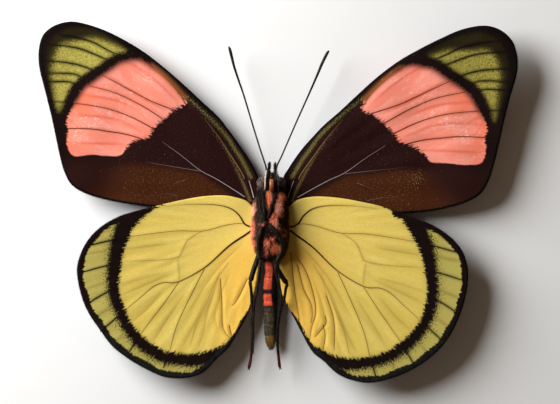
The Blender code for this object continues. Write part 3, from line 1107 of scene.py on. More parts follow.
@dataclass(frozen=True)
class EyeLenses(Finish):
    """Compound eye, dried: dull glassy lenses over mottled brown and maroon."""

    name: str = "compound eye, dried"
    roughness: float = 0.3
    specular: float = 0.6
    relief: float = 0.02
    reads: tuple[str, ...] = ("worn",)
    dark: str = "#2A1618"
    brown: str = "#5A3C34"
    grey: str = "#94827A"

    def paint(self, tree: Tree, point: dict[str, Any]) -> tuple[Any, Any]:
        """Adds the nodes of the pattern: mottling about half a millimetre across.

        Args:
            tree: the material's tree.
            point: sockets with the place and the values of a point, by name.

        Returns:
            Sockets with the colour, and with the fine grain.
        """
        mottle = streaks(tree, point["place"], 0.55 * MM, 0.7 * MM)
        fine = streaks(tree, point["place"], 0.2 * MM, 0.2 * MM)
        colour = coats(tree, self.dark, [
            (product(tree, point["worn"], frayed(tree, mottle, fine, 0.1, 0.05, 0.5)), self.brown),
            (product(tree, point["worn"], frayed(tree, fine, mottle, 0.15, 0.04, 0.56)), self.grey),
        ])
        return colour, fine


@dataclass(frozen=True)
class TongueCuticle(Finish):
    """Coiled tongue, dried: coppery cuticle with fine rings that catch the light."""

    name: str = "tongue cuticle, dried"
    roughness: float = 0.35
    relief: float = 0.02
    copper: str = "#B8683A"
    dark: str = "#5A2A14"

    def paint(self, tree: Tree, point: dict[str, Any]) -> tuple[Any, Any]:
        """Adds fine dark flecks, and returns the sockets with the colour and the grain."""
        fine = streaks(tree, point["place"], 0.12 * MM, 0.12 * MM)
        return coats(tree, self.copper, [(product(tree, fine, fine, 1.5), self.dark)]), fine


@dataclass(frozen=True)
class BackingPaper(Finish):
    """Plain pale backing paper, matt: only a faint mottling shows."""

    name: str = "backing paper, matt"
    roughness: float = 0.85
    specular: float = 0.2
    white: str = "#F3F4F4"
    grey: str = "#EDEFEF"

    def paint(self, tree: Tree, point: dict[str, Any]) -> tuple[Any, Any]:
        """Adds mottling about 20 mm across, and returns the sockets with the colour and it."""
        cloud = streaks(tree, point["place"], 20 * MM, 20 * MM)
        return coats(tree, self.white, [(cloud, self.grey)]), cloud


# Wings


@dataclass(frozen=True)
class Vein:
    """A vein by listed points, with its values at root and end.

    Girth is its radius, strength how far its colour shows, and accent how far that is the
    wing's second vein colour.
    """

    points: Rows
    girth: tuple[float, float] = (0.13, 0.07)
    strength: tuple[float, float] = (0.7, 0.5)
    accent: tuple[float, float] = (0.0, 0.0)


BOLD = ((0.13, 0.12), (1.0, 1.0), (1.0, 1.0))


@dataclass
class Wing:
    """One wing: a thin membrane, its veins, and the fringe of scales on its edge."""

    side: Side
    outline: Rows
    turn: float = 0.0
    scale: float = 1.0
    cell: float = 0.22
    thickness: float = 0.12
    fringe_length: float = 0.42

    pair: ClassVar[Pair]
    hinge: ClassVar[tuple[float, float]]
    veins: ClassVar[tuple[Vein, ...]]
    fringe_span: ClassVar[tuple[float, float]]

    @property
    def name(self) -> str:
        """The wing's name, which is also its node's."""
        return f"{self.pair.value}_{self.side.name.lower()}"

    def laid(self, rows: Rows) -> np.ndarray:
        """Carries points of the right wing over to this one, which is turned and scaled.

        Args:
            rows: points of the right wing.

        Returns:
            The points on this wing.
        """
        angle = math.radians(self.turn)
        spin = np.array([[math.cos(angle), math.sin(angle)], [-math.sin(angle), math.cos(angle)]])
        hinge = np.array(self.hinge)
        return (np.asarray(rows, float) - hinge) @ spin * self.scale + hinge

    def height(self, points: np.ndarray) -> np.ndarray:
        """Gives the membrane's middle height at points in the plane."""
        raise NotImplementedError

    def fields(self, points: np.ndarray) -> Fields:
        """Gives the values that the wing's material reads at points in the plane."""
        raise NotImplementedError

    def grain(self, points: np.ndarray) -> np.ndarray:
        """Measures across and along the rays that fan out from the hinge.

        Args:
            points: the points, one row each.

        Returns:
            Rows of millimetres across, along and 0.
        """
        offset = points - np.array(self.hinge) + np.array([4.0, 0.0])
        angle = np.arctan2(offset[:, 1], offset[:, 0])
        reach = np.hypot(*offset.T)
        return np.stack([angle * 24.0, reach, np.zeros(len(points))], axis=1)

    def membrane(self) -> Thing:
        """Makes the closed membrane on a fine grid that is fitted to the outline.

        Returns:
            The membrane.
        """
        rim = smooth_line(self.outline, 0.3, closed=True)
        low, high = rim.min(0), rim.max(0)
        xs, ys = (np.arange(a, b + self.cell, self.cell) for a, b in zip(low, high))
        grid = np.stack(np.meshgrid(xs, ys), axis=-1).reshape(-1, 2)
        inside = depth_inside(grid, rim) > 0.1 * self.cell
        number = np.arange(len(grid)).reshape(len(ys), len(xs))
        quads = np.stack(
            [number[:-1, :-1], number[:-1, 1:], number[1:, 1:], number[1:, :-1]], axis=-1
        ).reshape(-1, 4)
        quads = quads[inside[quads].all(axis=1)]
        used, quads = np.unique(quads, return_inverse=True)
        quads, grid = quads.reshape(-1, 4), grid[used]
        edges = np.stack([quads, np.roll(quads, -1, axis=1)], axis=-1).reshape(-1, 2)
        key = edges[:, 0] * len(grid) + edges[:, 1]
        border = edges[~np.isin(key, edges[:, 1] * len(grid) + edges[:, 0])]
        loose = np.unique(border)
        grid[loose] = nearest_on(grid[loose], rim)[2]
        middle = self.height(grid)
        half = self.thickness / 2
        points = np.vstack([np.column_stack([grid, middle + half]),
                            np.column_stack([grid, middle - half])])
        count = len(grid)
        a, b = border.T
        faces = np.vstack([
            quads, quads[:, ::-1] + count, np.stack([b, a, a + count, b + count], axis=1)
        ])
        if self.side is Side.LEFT:
            faces = faces[:, ::-1]
        mesh = bpy.data.meshes.new(self.name)
        mesh.from_pydata(self.placed(points).tolist(), [], faces.tolist())
        mesh.shade_smooth()
        return add_object(self.name, mesh)

    def placed(self, points: np.ndarray) -> np.ndarray:
        """Turns rows of outwards x, y and z into metres in the row frame."""
        return points * np.array([self.side.value, 1.0, 1.0]) * MM

    def rod_lines(self) -> list[tuple[np.ndarray, Vein]]:
        """Lists the lines that rods lie on, each with the vein that gives their values."""
        return [(self.laid(vein.points), vein) for vein in self.veins]

    def vein_rods(self, tree: Any, material: Material) -> Thing:
        """Draws the wing's veins as rods half sunk in the membrane.

        Args:
            tree: the tree that draws rods.
            material: the wing's finish.

        Returns:
            The veins.
        """
        strands = []
        for rows, vein in self.rod_lines():
            line = smooth_line(rows, 0.35)
            share = np.linspace(0.0, 1.0, len(line))
            points = self.placed(np.column_stack([line, self.height(line)])) / MM
            strands.append(Strand(points, {
                "girth": np.interp(share, (0, 1), vein.girth) * MM,
                "vein": np.interp(share, (0, 1), vein.strength),
                "accent": np.interp(share, (0, 1), vein.accent),
            }))
        path = strand_object(self.name + "_paths", strands)
        rods = grow(path, tree, self.name + "_veins", sides=6, material=material)
        drop_object(path)
        return rods

    def dress(self, obj: Thing) -> None:
        """Stores the material's values on every point of a piece of this wing."""
        points = corners(obj.data)
        flat = points[:, :2] * np.array([self.side.value, 1.0])
        fields = self.fields(flat)
        fields["grain"] = self.grain(flat)
        fields["back"] = (points[:, 2] < self.height(flat) - 0.4 * self.thickness).astype(float)
        store(obj.data, fields)

    def fringe(self, tree: Any, material: Material) -> Thing:
        """Sets narrow scales along the outer edge.

        Args:
            tree: the tree that sets bristles.
            material: the wing's finish.

        Returns:
            The fringe.
        """
        rim = smooth_line(self.outline, 0.5, closed=True)
        share = np.linspace(0.0, 1.0, len(rim))
        rim = rim[(share >= self.fringe_span[0]) & (share <= self.fringe_span[1])]
        along = np.gradient(rim, axis=0)
        outwards = np.column_stack([-along[:, 1], along[:, 0], np.zeros(len(rim))])
        outwards /= np.linalg.norm(outwards, axis=1)[:, None]
        inset = rim - outwards[:, :2] * 0.12
        points = self.placed(np.column_stack([inset, self.height(inset)])) / MM
        path = strand_object(self.name + "_edge", [Strand(points, {
            "aim": outwards * np.array([self.side.value, 1.0, 1.0]),
        })])
        fringe = grow(
            path, tree, self.name + "_fringe", spacing=0.085 * MM, length=self.fringe_length * MM,
            thickness=0.035 * MM, side=0.35, lean=0.0, seed=7, material=material,
        )
        drop_object(path)
        return fringe

    def build(self, rods: Any, bristles: Any, material: Material) -> None:
        """Makes the wing and its fringe and hands them to the frame.

        Args:
            rods: the tree that draws rods.
            bristles: the tree that sets bristles.
            material: the wing's finish.
        """
        membrane = self.membrane()
        membrane.data.materials.append(material)
        wing = merge(self.name + "_wing", [membrane, self.vein_rods(rods, material)])
        self.dress(wing)
        fringe = self.fringe(bristles, material)
        self.dress(fringe)
        store(fringe.data, {"back": np.zeros(len(fringe.data.vertices))})
        hand_over(wing, self.pair.value, self.name)
        hand_over(fringe, self.pair.value)


@dataclass
class Forewing(Wing):
    """A forewing: dark, with a coral patch and an olive tip."""

    patch: Rows = ()
    tip: Rows = ()
    # dusky darkens the olive tip, most at its edge; the right wing's larger value adds painted shade to its
    # tip
    dusky: float = 0.3

    pair = Pair.FORE
    hinge = (3.0, 5.0)
    fringe_span = (0.42, 0.86)
    veins = (
        Vein(((5.2, 6.8), (5.9, 8.1), (8.2, 11.3), (10.8, 14.8), (13.6, 18.0)),
             (0.09, 0.075), (0.9, 0.2), (-1.0, -1.0)),
        Vein(((3.2, 3.2), (3.5, 4.2), (3.9, 5.4), (4.3, 6.5)), (0.1, 0.085), (1.0, 0.8), (1.0, 1.0)),
        Vein(((10.5, 16.2), (16.0, 21.4), (22.0, 26.2), (28.0, 29.6)), (0.06, 0.1), (0.3, 1.0)),
        Vein(((5.0, 3.3), (8.0, 5.0), (11.0, 6.6), (14.0, 8.0), (18.0, 10.8), (21.6, 13.1)),
             (0.085, 0.07), (0.85, 0.2), (1.0, 1.0)),
        Vein(((14.0, 7.8), (20.4, 8.5), (24.0, 8.9), (28.3, 9.5)), (0.075, 0.065), (0.25, 0.08), (1.0, 1.0)),
        Vein(((18.0, 2.7), (21.0, 3.2), (24.0, 3.4), (32.0, 3.6)), (0.07, 0.065), (0.2, 0.05), (0.8, 0.6)),
        Vein(((16.2, 6.1), (19.9, 4.7), (22.2, 4.0)), (0.07, 0.065), (0.25, 0.2), (0.8, 0.8)),
        Vein(((19.0, 19.2), (20.0, 19.5), (24.0, 20.8), (28.0, 22.6), (34.0, 25.4)),
             (0.13, 0.1), (1.0, 0.9)),
        Vein(((21.0, 17.2), (22.0, 17.7), (26.0, 19.9), (31.0, 22.0), (36.5, 23.2)),
             (0.13, 0.1), (1.0, 0.9)),
        Vein(((23.0, 15.2), (23.8, 15.7), (28.0, 17.6), (33.0, 19.0), (38.9, 19.6), (43.5, 19.7)),
             (0.14, 0.1), (1.0, 0.8)),
        Vein(((25.0, 13.2), (25.9, 13.5), (29.0, 14.2), (32.0, 14.5), (36.0, 14.8), (42.5, 14.5)),
             (0.14, 0.12), (1.0, 1.0)),
        Vein(((31.0, 29.4), (33.0, 30.2), (36.0, 31.6), (39.5, 32.4), (43.0, 32.8)),
             (0.13, 0.09), (1.0, 0.9)),
        Vein(((31.5, 27.8), (34.0, 28.7), (38.0, 30.1), (41.5, 30.6), (45.5, 30.7)),
             (0.13, 0.09), (1.0, 0.9)),
        Vein(((34.0, 25.4), (36.5, 26.5), (40.0, 27.3), (43.8, 27.5), (46.0, 27.4)),
             (0.13, 0.09), (1.0, 0.9)),
        Vein(((36.5, 23.2), (38.5, 25.0), (41.0, 25.3), (45.6, 25.0)), (0.1, 0.08), (0.7, 0.7)),
        Vein(((38.6, 23.1), (40.5, 23.7), (45.2, 23.4)), (0.12, 0.09), (1.0, 0.9)),
        Vein(((17.6, 21.0), (19.4, 23.4), (21.9, 25.7), (24.6, 27.4)), (0.1, 0.07), (0.9, 0.7)),
    )
    creases: tuple[Rows, ...] = (
        ((26.0, 15.0), (30.0, 16.7), (34.0, 17.3), (39.5, 17.2)),
        ((28.5, 12.2), (33.0, 12.1), (39.5, 11.8)),
        ((21.5, 19.3), (26.0, 21.5), (31.0, 24.2), (33.5, 25.8)),
        ((26.0, 18.6), (31.0, 20.6), (38.0, 21.4)),
        ((19.0, 21.0), (23.0, 24.5), (27.5, 27.5), (30.0, 28.2)),
    )
    costa_line: Rows = ((17.6, 21.9), (20.0, 24.3), (22.4, 26.4), (24.4, 27.7))
    gold_line: Rows = (
        (4.0, 7.2), (6.1, 10.7), (7.4, 12.4), (9.0, 14.7), (11.4, 17.1), (14.2, 19.6), (17.2, 22.0),
    )
    dust_line: Rows = ((3.9, 2.6), (5.0, 5.0), (6.2, 7.4), (7.8, 10.2), (9.8, 13.2), (12.5, 16.4))

    def height(self, points: np.ndarray) -> np.ndarray:
        """Gives the membrane's middle height, with its curled front edge and its pleats.

        Args:
            points: the points, one row each.

        Returns:
            The height in millimetres.
        """
        x, y = points.T
        span = np.maximum(x - 3.0, 0.0) / 43.0
        start, end = np.array([3.0, 7.0]), np.array([42.0, 35.5])
        dx, dy = end - start
        behind = (dx * (y - start[1]) - dy * (x - start[0])) / math.hypot(dx, dy)
        curl = 0.7 * np.exp(np.minimum(behind, 0.0) / 5.0) * np.minimum(span * 5.0, 1.0)
        reach = np.hypot(x - 3.0, y - 5.0)
        angle = np.arctan2(y - 5.0, x - 3.0)
        pleat = 0.06 * np.sin(angle * 34.0) * soft_step(reach, 4.0, 22.0)
        wave = 0.10 * np.sin(reach * 0.33 + 1.3 * x * 0.21) * soft_step(reach, 8.0, 30.0)
        return 2.45 + 3.3 * span**1.5 + curl + pleat + wave

    def fields(self, points: np.ndarray) -> Fields:
        """Gives the material the depths and shades of the forewing's pattern.

        Args:
            points: the points, one row each.

        Returns:
            Values by name.
        """
        x, y = points.T
        rim = depth_inside(points, smooth_line(self.outline, 0.6, closed=True))
        patch = depth_inside(points, smooth_line(self.patch, 0.5, closed=True))
        tip = depth_inside(points, smooth_line(self.tip, 0.6, closed=True))
        creases = [smooth_line(self.laid(line), 0.6) for line in self.creases]
        costa = nearest_on(points, smooth_line(self.laid(self.costa_line), 0.6))[0]
        gold = nearest_on(points, smooth_line(self.laid(self.gold_line), 0.6))
        root = nearest_on(points, smooth_line(self.laid(self.dust_line), 0.6))
        smudge = (self.side is Side.RIGHT) * np.exp(-((x - 27.6) ** 2 + (y - 6.9) ** 2) / 3.0)
        veins = [smooth_line(self.laid(vein.points), 0.6) for vein in self.veins[7:]]
        away = points - self.laid(((34.0, 18.0),))[0]
        inward = away @ np.array([-0.6, -0.8])
        bottom = np.array(self.patch)[:, 1].min()
        line = self.laid(((4.0, 2.0), (14.0, 8.0), (24.0, 9.2), (46.0, 9.0)))
        median = np.interp(x, line[:, 0], line[:, 1])
        below = soft_step(median - y, -0.2, 1.6)
        fade = 1.0 - soft_step(x + 0.9 * (y - 2.0), 29.0, 39.0) * 0.9
        dust = (0.3 + 0.14 * below) * soft_step(x, 2.0, 9.0) * (1.0 - soft_step(x, 24.0, 40.0))
        depth = np.interp(y, (19.0, 26.0, 31.0, 34.0), (1.3, 2.4, 4.0, 4.8)) + self.dusky - rim
        depth -= 2.0 * soft_step(38.5 - x, 0.0, 6.0)
        dusk = np.maximum(soft_step(depth, -0.6, 2.2), 0.6 * soft_step(22.5 - y, 0.0, 3.0))
        return {
            "patch": patch,
            "tip": tip,
            "fray": (0.35 + 0.55 * soft_step(inward, 4.5, 7.5)) * soft_step(y - bottom, 0.3, 2.6) + 0.1,
            "outer": soft_step(away @ np.array([0.95, 0.3]), -1.0, 6.0),
            # Nearness to the veins, for the painted shade beside them
            "vein_shade": furrow(points, veins, 0.34),
            "brown": below * fade,
            "black": np.maximum(
                0.75 * soft_step(x + y, 42.0, 54.0), soft_step(1.5 - rim, 0.0, 0.7) * (y > 19.0)
            ),
            "dust": np.maximum(
                dust + 0.32 * smudge, 1.1 * np.exp(-((root[0] / 0.55) ** 2)) * (1.0 - 0.45 * root[1])
            ),
            "dim": np.exp(-((patch / 0.9) ** 2)) * soft_step(away @ np.array([0.45, 0.9]), 1.0, 4.5),
            # Nearness to the creases, where painted shade lies
            "crease": furrow(points, creases, 0.28),
            "costa": np.exp(-((costa / 0.5) ** 2)),
            "gold": np.exp(-((gold[0] / 0.45) ** 2)) * (0.95 - 0.4 * gold[1]),
            "dusk": np.maximum(dusk, 0.2 * self.dusky),
            # The band through the coral patch where the painted glints lie
            "shine": np.exp(-(((inward - 0.5) / 3.0) ** 2)) * soft_step(patch, 0.6, 1.6) * 0.8,
            "margin": 0.42 - rim,
            "base": 1.0 - soft_step(np.hypot(x - 3.0, y - 5.0), 8.0, 24.0),
        }


@dataclass
class Hindwing(Wing):
    """A hindwing: yellow, with a black band, olive cells beyond it and a pleated inner part."""

    band: Rows = ()
    creases: tuple[Rows, ...] = ()

    pair = Pair.HIND
    hinge = (3.4, -2.0)
    fringe_span = (0.24, 0.78)
    veins = (
        Vein(((3.3, -2.3), (4.3, -2.15), (5.2, -1.6), (6.2, -0.1), (8.0, 1.2), (11.0, 1.8),
              (16.0, 1.7), (20.5, 1.1)), (0.2, 0.07), (1.0, 0.25), (1.4, -0.9)),
        Vein(((4.9, -1.8), (6.4, -1.7), (9.0, -2.2), (13.0, -3.4), (18.0, -3.6), (23.0, -4.3),
              (27.5, -5.1)), (0.1, 0.08), (0.8, 0.8)),
        Vein(((13.5, -3.5), (16.0, -5.3), (17.2, -7.8), (18.0, -8.8), (22.0, -9.5),
              (28.3, -9.9)), (0.09, 0.07), (0.6, 0.5)),
        Vein(((18.0, -8.8), (17.6, -11.0), (17.4, -13.4)), (0.07, 0.07), (0.35, 0.45)),
        Vein(((3.6, -2.9), (4.6, -3.7), (8.0, -6.2), (12.5, -10.5), (17.5, -13.5), (20.5, -13.8),
              (22.6, -14.8), (25.0, -17.0), (28.3, -20.0)), (0.2, 0.08), (1.0, 0.7), (1.3, -1.6)),
        Vein(((17.5, -13.6), (20.0, -17.5), (22.3, -20.8), (24.5, -24.0)),
             (0.1, 0.08), (0.8, 1.0)),
        Vein(((12.6, -10.8), (15.0, -16.0), (17.5, -22.0), (18.7, -27.0)),
             (0.11, 0.08), (0.8, 1.0)),
        Vein(((8.0, -9.5), (10.2, -13.0), (12.0, -17.5), (13.8, -22.0), (14.8, -26.2)),
             (0.09, 0.07), (0.4, 0.6)),
        Vein(((20.5, -11.9), (25.0, -13.2), (29.0, -14.6)), (0.07, 0.06), (0.2, 0.3)),
        Vein(((30.0, -5.7), (32.4, -6.3), (35.9, -7.3)), *BOLD),
        Vein(((30.4, -10.6), (33.0, -11.3), (36.4, -12.4)), *BOLD),
        Vein(((30.6, -15.6), (33.4, -17.3), (35.6, -18.9)), *BOLD),
        Vein(((28.8, -20.5), (30.9, -22.4), (32.4, -23.8)), *BOLD),
        Vein(((25.0, -25.0), (26.3, -27.0), (26.9, -28.2)), *BOLD),
        Vein(((18.8, -27.4), (19.4, -29.2), (19.8, -30.5)), *BOLD),
    )
    soft_folds: tuple[Rows, ...] = (
        ((9.4, -10.5), (10.5, -15.0), (11.6, -19.0), (12.4, -23.5), (13.2, -26.0)),
        ((10.8, -13.5), (12.4, -17.5), (14.0, -21.5), (16.2, -26.0)),
        ((7.6, -11.5), (9.3, -16.0), (10.2, -20.0), (9.4, -23.0)),
        ((5.4, -5.6), (9.0, -9.5), (12.0, -13.6), (15.0, -19.0)),
        ((20.5, -15.5), (23.4, -19.0), (26.6, -22.0)),
        ((16.0, -15.5), (19.2, -20.5), (21.8, -25.0)),
        ((19.4, -12.3), (24.0, -14.4), (28.6, -16.6)),
        ((20.0, -6.2), (24.0, -6.9), (28.3, -7.6)),
    )
    # Lines along which painted shade darkens the olive cells
    ripples: tuple[Rows, ...] = (
        ((30.6, -7.6), (33.0, -8.2), (36.2, -8.8)), ((31.4, -14.0), (33.6, -14.9), (36.0, -15.8)),
        ((30.6, -19.0), (32.4, -20.3), (34.0, -21.4)), ((27.8, -24.0), (29.0, -25.4), (29.8, -26.3)),
        ((22.6, -27.4), (23.0, -28.6), (23.4, -29.8)), ((31.0, -3.4), (33.0, -4.6), (34.4, -5.4)),
    )
    margin_width: Rows = ((0.0, 0.9), (0.08, 1.0), (0.2, 1.15), (0.6, 1.25), (0.82, 0.95), (1.0, 0.16))

    def rod_lines(self) -> list[tuple[np.ndarray, Vein]]:
        """Adds the creases, which are thin dark lines too; their darkness is painted shade."""
        thin = Vein((), (0.11, 0.09), (1.0, 0.75))
        return super().rod_lines() + [(np.array(line), thin) for line in self.creases]

    def height(self, points: np.ndarray) -> np.ndarray:
        """Gives the membrane's middle height, with its pleats and the sag between its veins.

        Args:
            points: the points, one row each.

        Returns:
            The height in millimetres.
        """
        x, y = points.T
        reach = np.hypot(x - 3.4, y + 2.0)
        angle = np.arctan2(y + 2.0, x - 3.4)
        lines = [smooth_line(line, 0.8) for line in self.creases]
        folds = [smooth_line(self.laid(line), 0.8) for line in self.soft_folds]
        ribs = [smooth_line(self.laid(vein.points), 0.8) for vein in self.veins[:9]]
        pleat = -0.16 * furrow(points, lines, 0.4) + 0.08 * furrow(points, lines, 1.4)
        pleat += -0.05 * furrow(points, folds, 0.4) + 0.06 * furrow(points, ribs, 0.9)
        pleat += 0.03 * np.sin(angle * 60.0) * soft_step(reach, 8.0, 24.0)
        return 3.15 + 2.7 * (reach / 36.0) ** 1.5 + pleat

    def fields(self, points: np.ndarray) -> Fields:
        """Gives the material the depths and shades of the hindwing's pattern.

        Args:
            points: the points, one row each.

        Returns:
            Values by name.
        """
        x, y = points.T
        rim = smooth_line(self.outline, 0.6, closed=True)
        share = np.linspace(0.0, 1.0, len(rim))
        edge = rim[(share > 0.2) & (share < 0.86)]
        distance, place, _ = nearest_on(points, edge)
        width = np.interp(place, *np.array(self.margin_width).T)
        band = smooth_line(self.band, 0.5)
        gap, along, _ = nearest_on(points, band[:, :2])
        half = np.interp(along, np.linspace(0.0, 1.0, len(band)), band[:, 2])
        middle = np.array([14.0, -11.0])
        radius = np.linalg.norm(points - middle, axis=1)
        turn = np.arctan2(*(points - middle).T[::-1])
        around = np.arctan2(*(band[:, :2] - middle).T[::-1])
        order = np.argsort(around)
        ring = np.interp(turn, around[order], np.linalg.norm(band[:, :2] - middle, axis=1)[order])
        beyond = soft_step(radius - ring, -0.3, 0.3) * (turn < 0.98) * (turn > -2.4)
        hard = [smooth_line(line, 0.6) for line in self.creases]
        soft = [smooth_line(self.laid(line), 0.6) for line in self.soft_folds]
        ripples = [smooth_line(self.laid(line), 0.6) for line in self.ripples]
        outside = np.maximum(gap - half, 0.0)
        warm = np.exp(-((np.maximum(x - 5.0, 0.0) / 5.5) ** 2)) * soft_step(-y, 3.0, 9.0)
        root = 0.26 * np.exp(-((x - 5.0) ** 2 + (y - 1.5) ** 2) / 6.0)
        outer = 0.14 + 0.46 * np.exp(-outside / 1.5)
        return {
            # Nearness to the hinge, where the painted light lies
            "root": np.exp(-((np.hypot(x - 3.4, y + 2.0) / 11.0) ** 2)),
            "band": half - gap,
            "beyond": beyond,
            "speck": np.where(beyond > 0.5, outer, root + 0.45 * np.exp(-outside / 0.45)),
            "margin": width - distance + 0.12 * np.cos(place * 75.0),
            "slate": soft_step(place, 0.3, 0.5),
            # Nearness to the creases and soft folds, for the painted shade along them
            "fold": np.maximum(0.7 * furrow(points, hard, 0.18), 0.45 * furrow(points, soft, 0.16)),
            "dull": 0.55 * furrow(points, soft, 1.2),
            # Nearness to the veins, for the painted shade beside them
            "vein_shade": furrow(points, [smooth_line(self.laid(vein.points), 0.6) for vein in self.veins], 0.32),
            "ripple": furrow(points, ripples, 0.3),
            "warm": warm,
            "edge": soft_step(4.0 - distance, 0.0, 2.0),
        }


# The body and its limbs


def hand_over(obj: Thing, slot: str, *nodes: str) -> None:
    """Lets a finished piece move with the body, and reports it.

    Args:
        obj: the piece.
        slot: the record's material slot; not used.
        nodes: the nodes that it stands for.
    """
    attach(obj, BODY)
    if nodes:
        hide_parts(*nodes)
    LOG.info("%s: %d points", obj.name, len(obj.data.vertices))


@dataclass(frozen=True)
class Tuft:
    """A patch of fur of one colour: its middle and half size, and how red and pale it is; the paleness is
    partly painted highlight.
    """

    x: float
    y: float
    half_x: float
    half_y: float
    red: float
    pale: float = 0.0


@dataclass
class Torso:
    """Thorax and head with their fur."""

    thorax_centre: tuple[float, float, float] = (0.0, -1.8, 3.75)
    thorax_half: tuple[float, float, float] = (3.05, 6.3, 4.15)
    thorax_power: float = 2.6
    collar_centre: tuple[float, float, float] = (0.1, 4.6, 3.5)
    collar_half: tuple[float, float, float] = (2.4, 0.9, 2.0)
    head_centre: tuple[float, float, float] = (0.05, 6.15, 3.8)
    head_half: tuple[float, float, float] = (1.75, 1.8, 1.55)
    tufts: tuple[Tuft, ...] = (
        Tuft(1.75, 3.2, 0.7, 0.9, 1.2, 0.4), Tuft(1.3, 1.3, 0.8, 1.3, 1.2, 0.9),
        Tuft(0.45, -0.4, 0.8, 1.1, 1.2, 0.45), Tuft(0.75, -1.4, 0.55, 0.7, 1.2, 0.95),
        Tuft(1.1, -2.6, 0.45, 0.8, 0.9, 0.5), Tuft(-0.3, 2.5, 0.5, 1.8, 1.2, 0.3),
        Tuft(0.4, -4.3, 0.7, 0.5, 0.9, 0.1), Tuft(0.85, -6.0, 1.1, 0.9, 1.3, 0.35),
        Tuft(-0.65, -5.1, 0.6, 0.75, 1.3, 0.5), Tuft(-0.8, -6.7, 0.4, 0.8, 0.8, 0.5),
        Tuft(-3.0, 1.6, 0.45, 1.8, 0.8, 1.1), Tuft(-3.2, -2.4, 0.6, 2.2, 1.1, 0.5),
        Tuft(-3.0, -5.8, 0.5, 1.9, 1.1, 0.4), Tuft(3.15, -1.2, 0.4, 1.4, 0.55, 0.0),
        Tuft(2.3, -3.4, 0.7, 1.2, 0.4, 0.0), Tuft(-1.6, -1.6, 0.6, 0.5, 0.5, 0.3),
        Tuft(-2.2, -5.0, 0.5, 0.7, 0.6, 0.1),
    )

    def shades(self, points: np.ndarray) -> Fields:
        """Gives each point of the thorax its redness and paleness.

        Args:
            points: the points, one row each.

        Returns:
            Values by name.
        """
        red, pale = np.full(len(points), 0.05), np.zeros(len(points))
        for tuft in self.tufts:
            away = ((points[:, 0] - tuft.x) / tuft.half_x) ** 2
            away += ((points[:, 1] - tuft.y) / tuft.half_y) ** 2
            near = np.exp(-(away**2))
            red = np.maximum(red, near * tuft.red)
            pale = np.maximum(pale, near * tuft.pale)
        under = soft_step(points[:, 2], 1.5, 3.5)
        return {"red": red * under, "pale": pale * under}

    def thorax(self, coat: Any, fur: Material) -> None:
        """Makes the thorax: a flat-backed skin, and the fur on it.

        Args:
            coat: the tree that grows hair.
            fur: the fur's finish.
        """
        skin = rounded_shell(
            "thorax_skin", self.thorax_centre, self.thorax_half, self.thorax_power, 72
        )
        points = corners(skin.data)
        points[:, 2] = np.maximum(points[:, 2], 0.0)
        x, y, z = points.T
        lumps = np.sin(x * 2.9 + 1.0) * np.sin(y * 2.1) + 0.8 * np.sin(x * 5.1 - y * 4.3)
        swell = 0.16 * lumps - 0.25 + 0.38 * self.shades(points)["red"]
        shoulder = soft_step(x, 1.0, 2.9) * soft_step(y, -3.2, -1.2)
        points[:, 2] += swell * soft_step(z, 5.0, 7.0) - 1.2 * shoulder * soft_step(z, 4.0, 6.0)
        move_corners(skin.data, points)
        collar = rounded_shell("collar", self.collar_centre, self.collar_half, 2.2, 32)
        skin = merge("thorax_skin", [skin, collar])
        skin.data.materials.append(fur)
        points = corners(skin.data)
        x, y, z = points.T
        side = np.clip(np.abs(x) / 3.0, 0.0, 1.0)
        forward = 2.0 * soft_step(y, 1.0, 3.6) - 1.0
        flow = np.column_stack([np.sign(x) * side * 0.5, forward, 0.15 * np.ones(len(x))])
        tail = soft_step(-y, 4.5, 7.5)
        shades = self.shades(points)
        left = soft_step(-x, 2.2, 3.0) * soft_step(z, 2.5, 4.0) * soft_step(-y, -0.5, 2.0)
        store(skin.data, {
            **shades,
            "tan": 0.3 * side,
            "tone": np.full(len(x), 0.6),
            "flow": flow / np.linalg.norm(flow, axis=1)[:, None],
            "cover": soft_step(z, 0.5, 2.5),
            "reach": 0.65 + 0.35 * left + 0.25 * tail + 0.25 * shades["pale"],
        })
        hair = grow(
            skin, coat, "thorax_fur", density=42.0 / MM**2, length=1.05 * MM,
            thickness=0.055 * MM, lean=1.3, spread=0.7, curl=0.25 * MM, seed=3, material=fur,
        )
        hand_over(skin, "body", "thorax")
        hand_over(hair, "body")

    def head(self, coat: Any, fur: Material) -> None:
        """Makes the head: a small skin with short dark fur.

        Args:
            coat: the tree that grows hair.
            fur: the fur's finish.
        """
        skin = rounded_shell("head_skin", self.head_centre, self.head_half, 2.2, 40)
        skin.data.materials.append(fur)
        x, y, z = corners(skin.data).T
        flow = np.column_stack([0.25 * x, np.ones(len(x)), 0.2 * np.ones(len(x))])
        ones = np.ones(len(x))
        store(skin.data, {
            "red": np.maximum(0.25 * soft_step(x, 0.8, 1.6), 0.1 * ones),
            "pale": 0.35 * soft_step(-x, 0.6, 1.4),
            "tan": 0.9 * soft_step(-x, -0.2, 1.2),
            "tone": 0.5 * ones,
            "flow": flow / np.linalg.norm(flow, axis=1)[:, None],
            "cover": ones,
            "reach": ones,
        })
        hair = grow(
            skin, coat, "head_fur", density=60.0 / MM**2, length=0.6 * MM,
            thickness=0.03 * MM, lean=0.9, spread=0.5, curl=0.1 * MM, seed=5, material=fur,
        )
        hand_over(skin, "body", "head")
        hand_over(hair, "body")


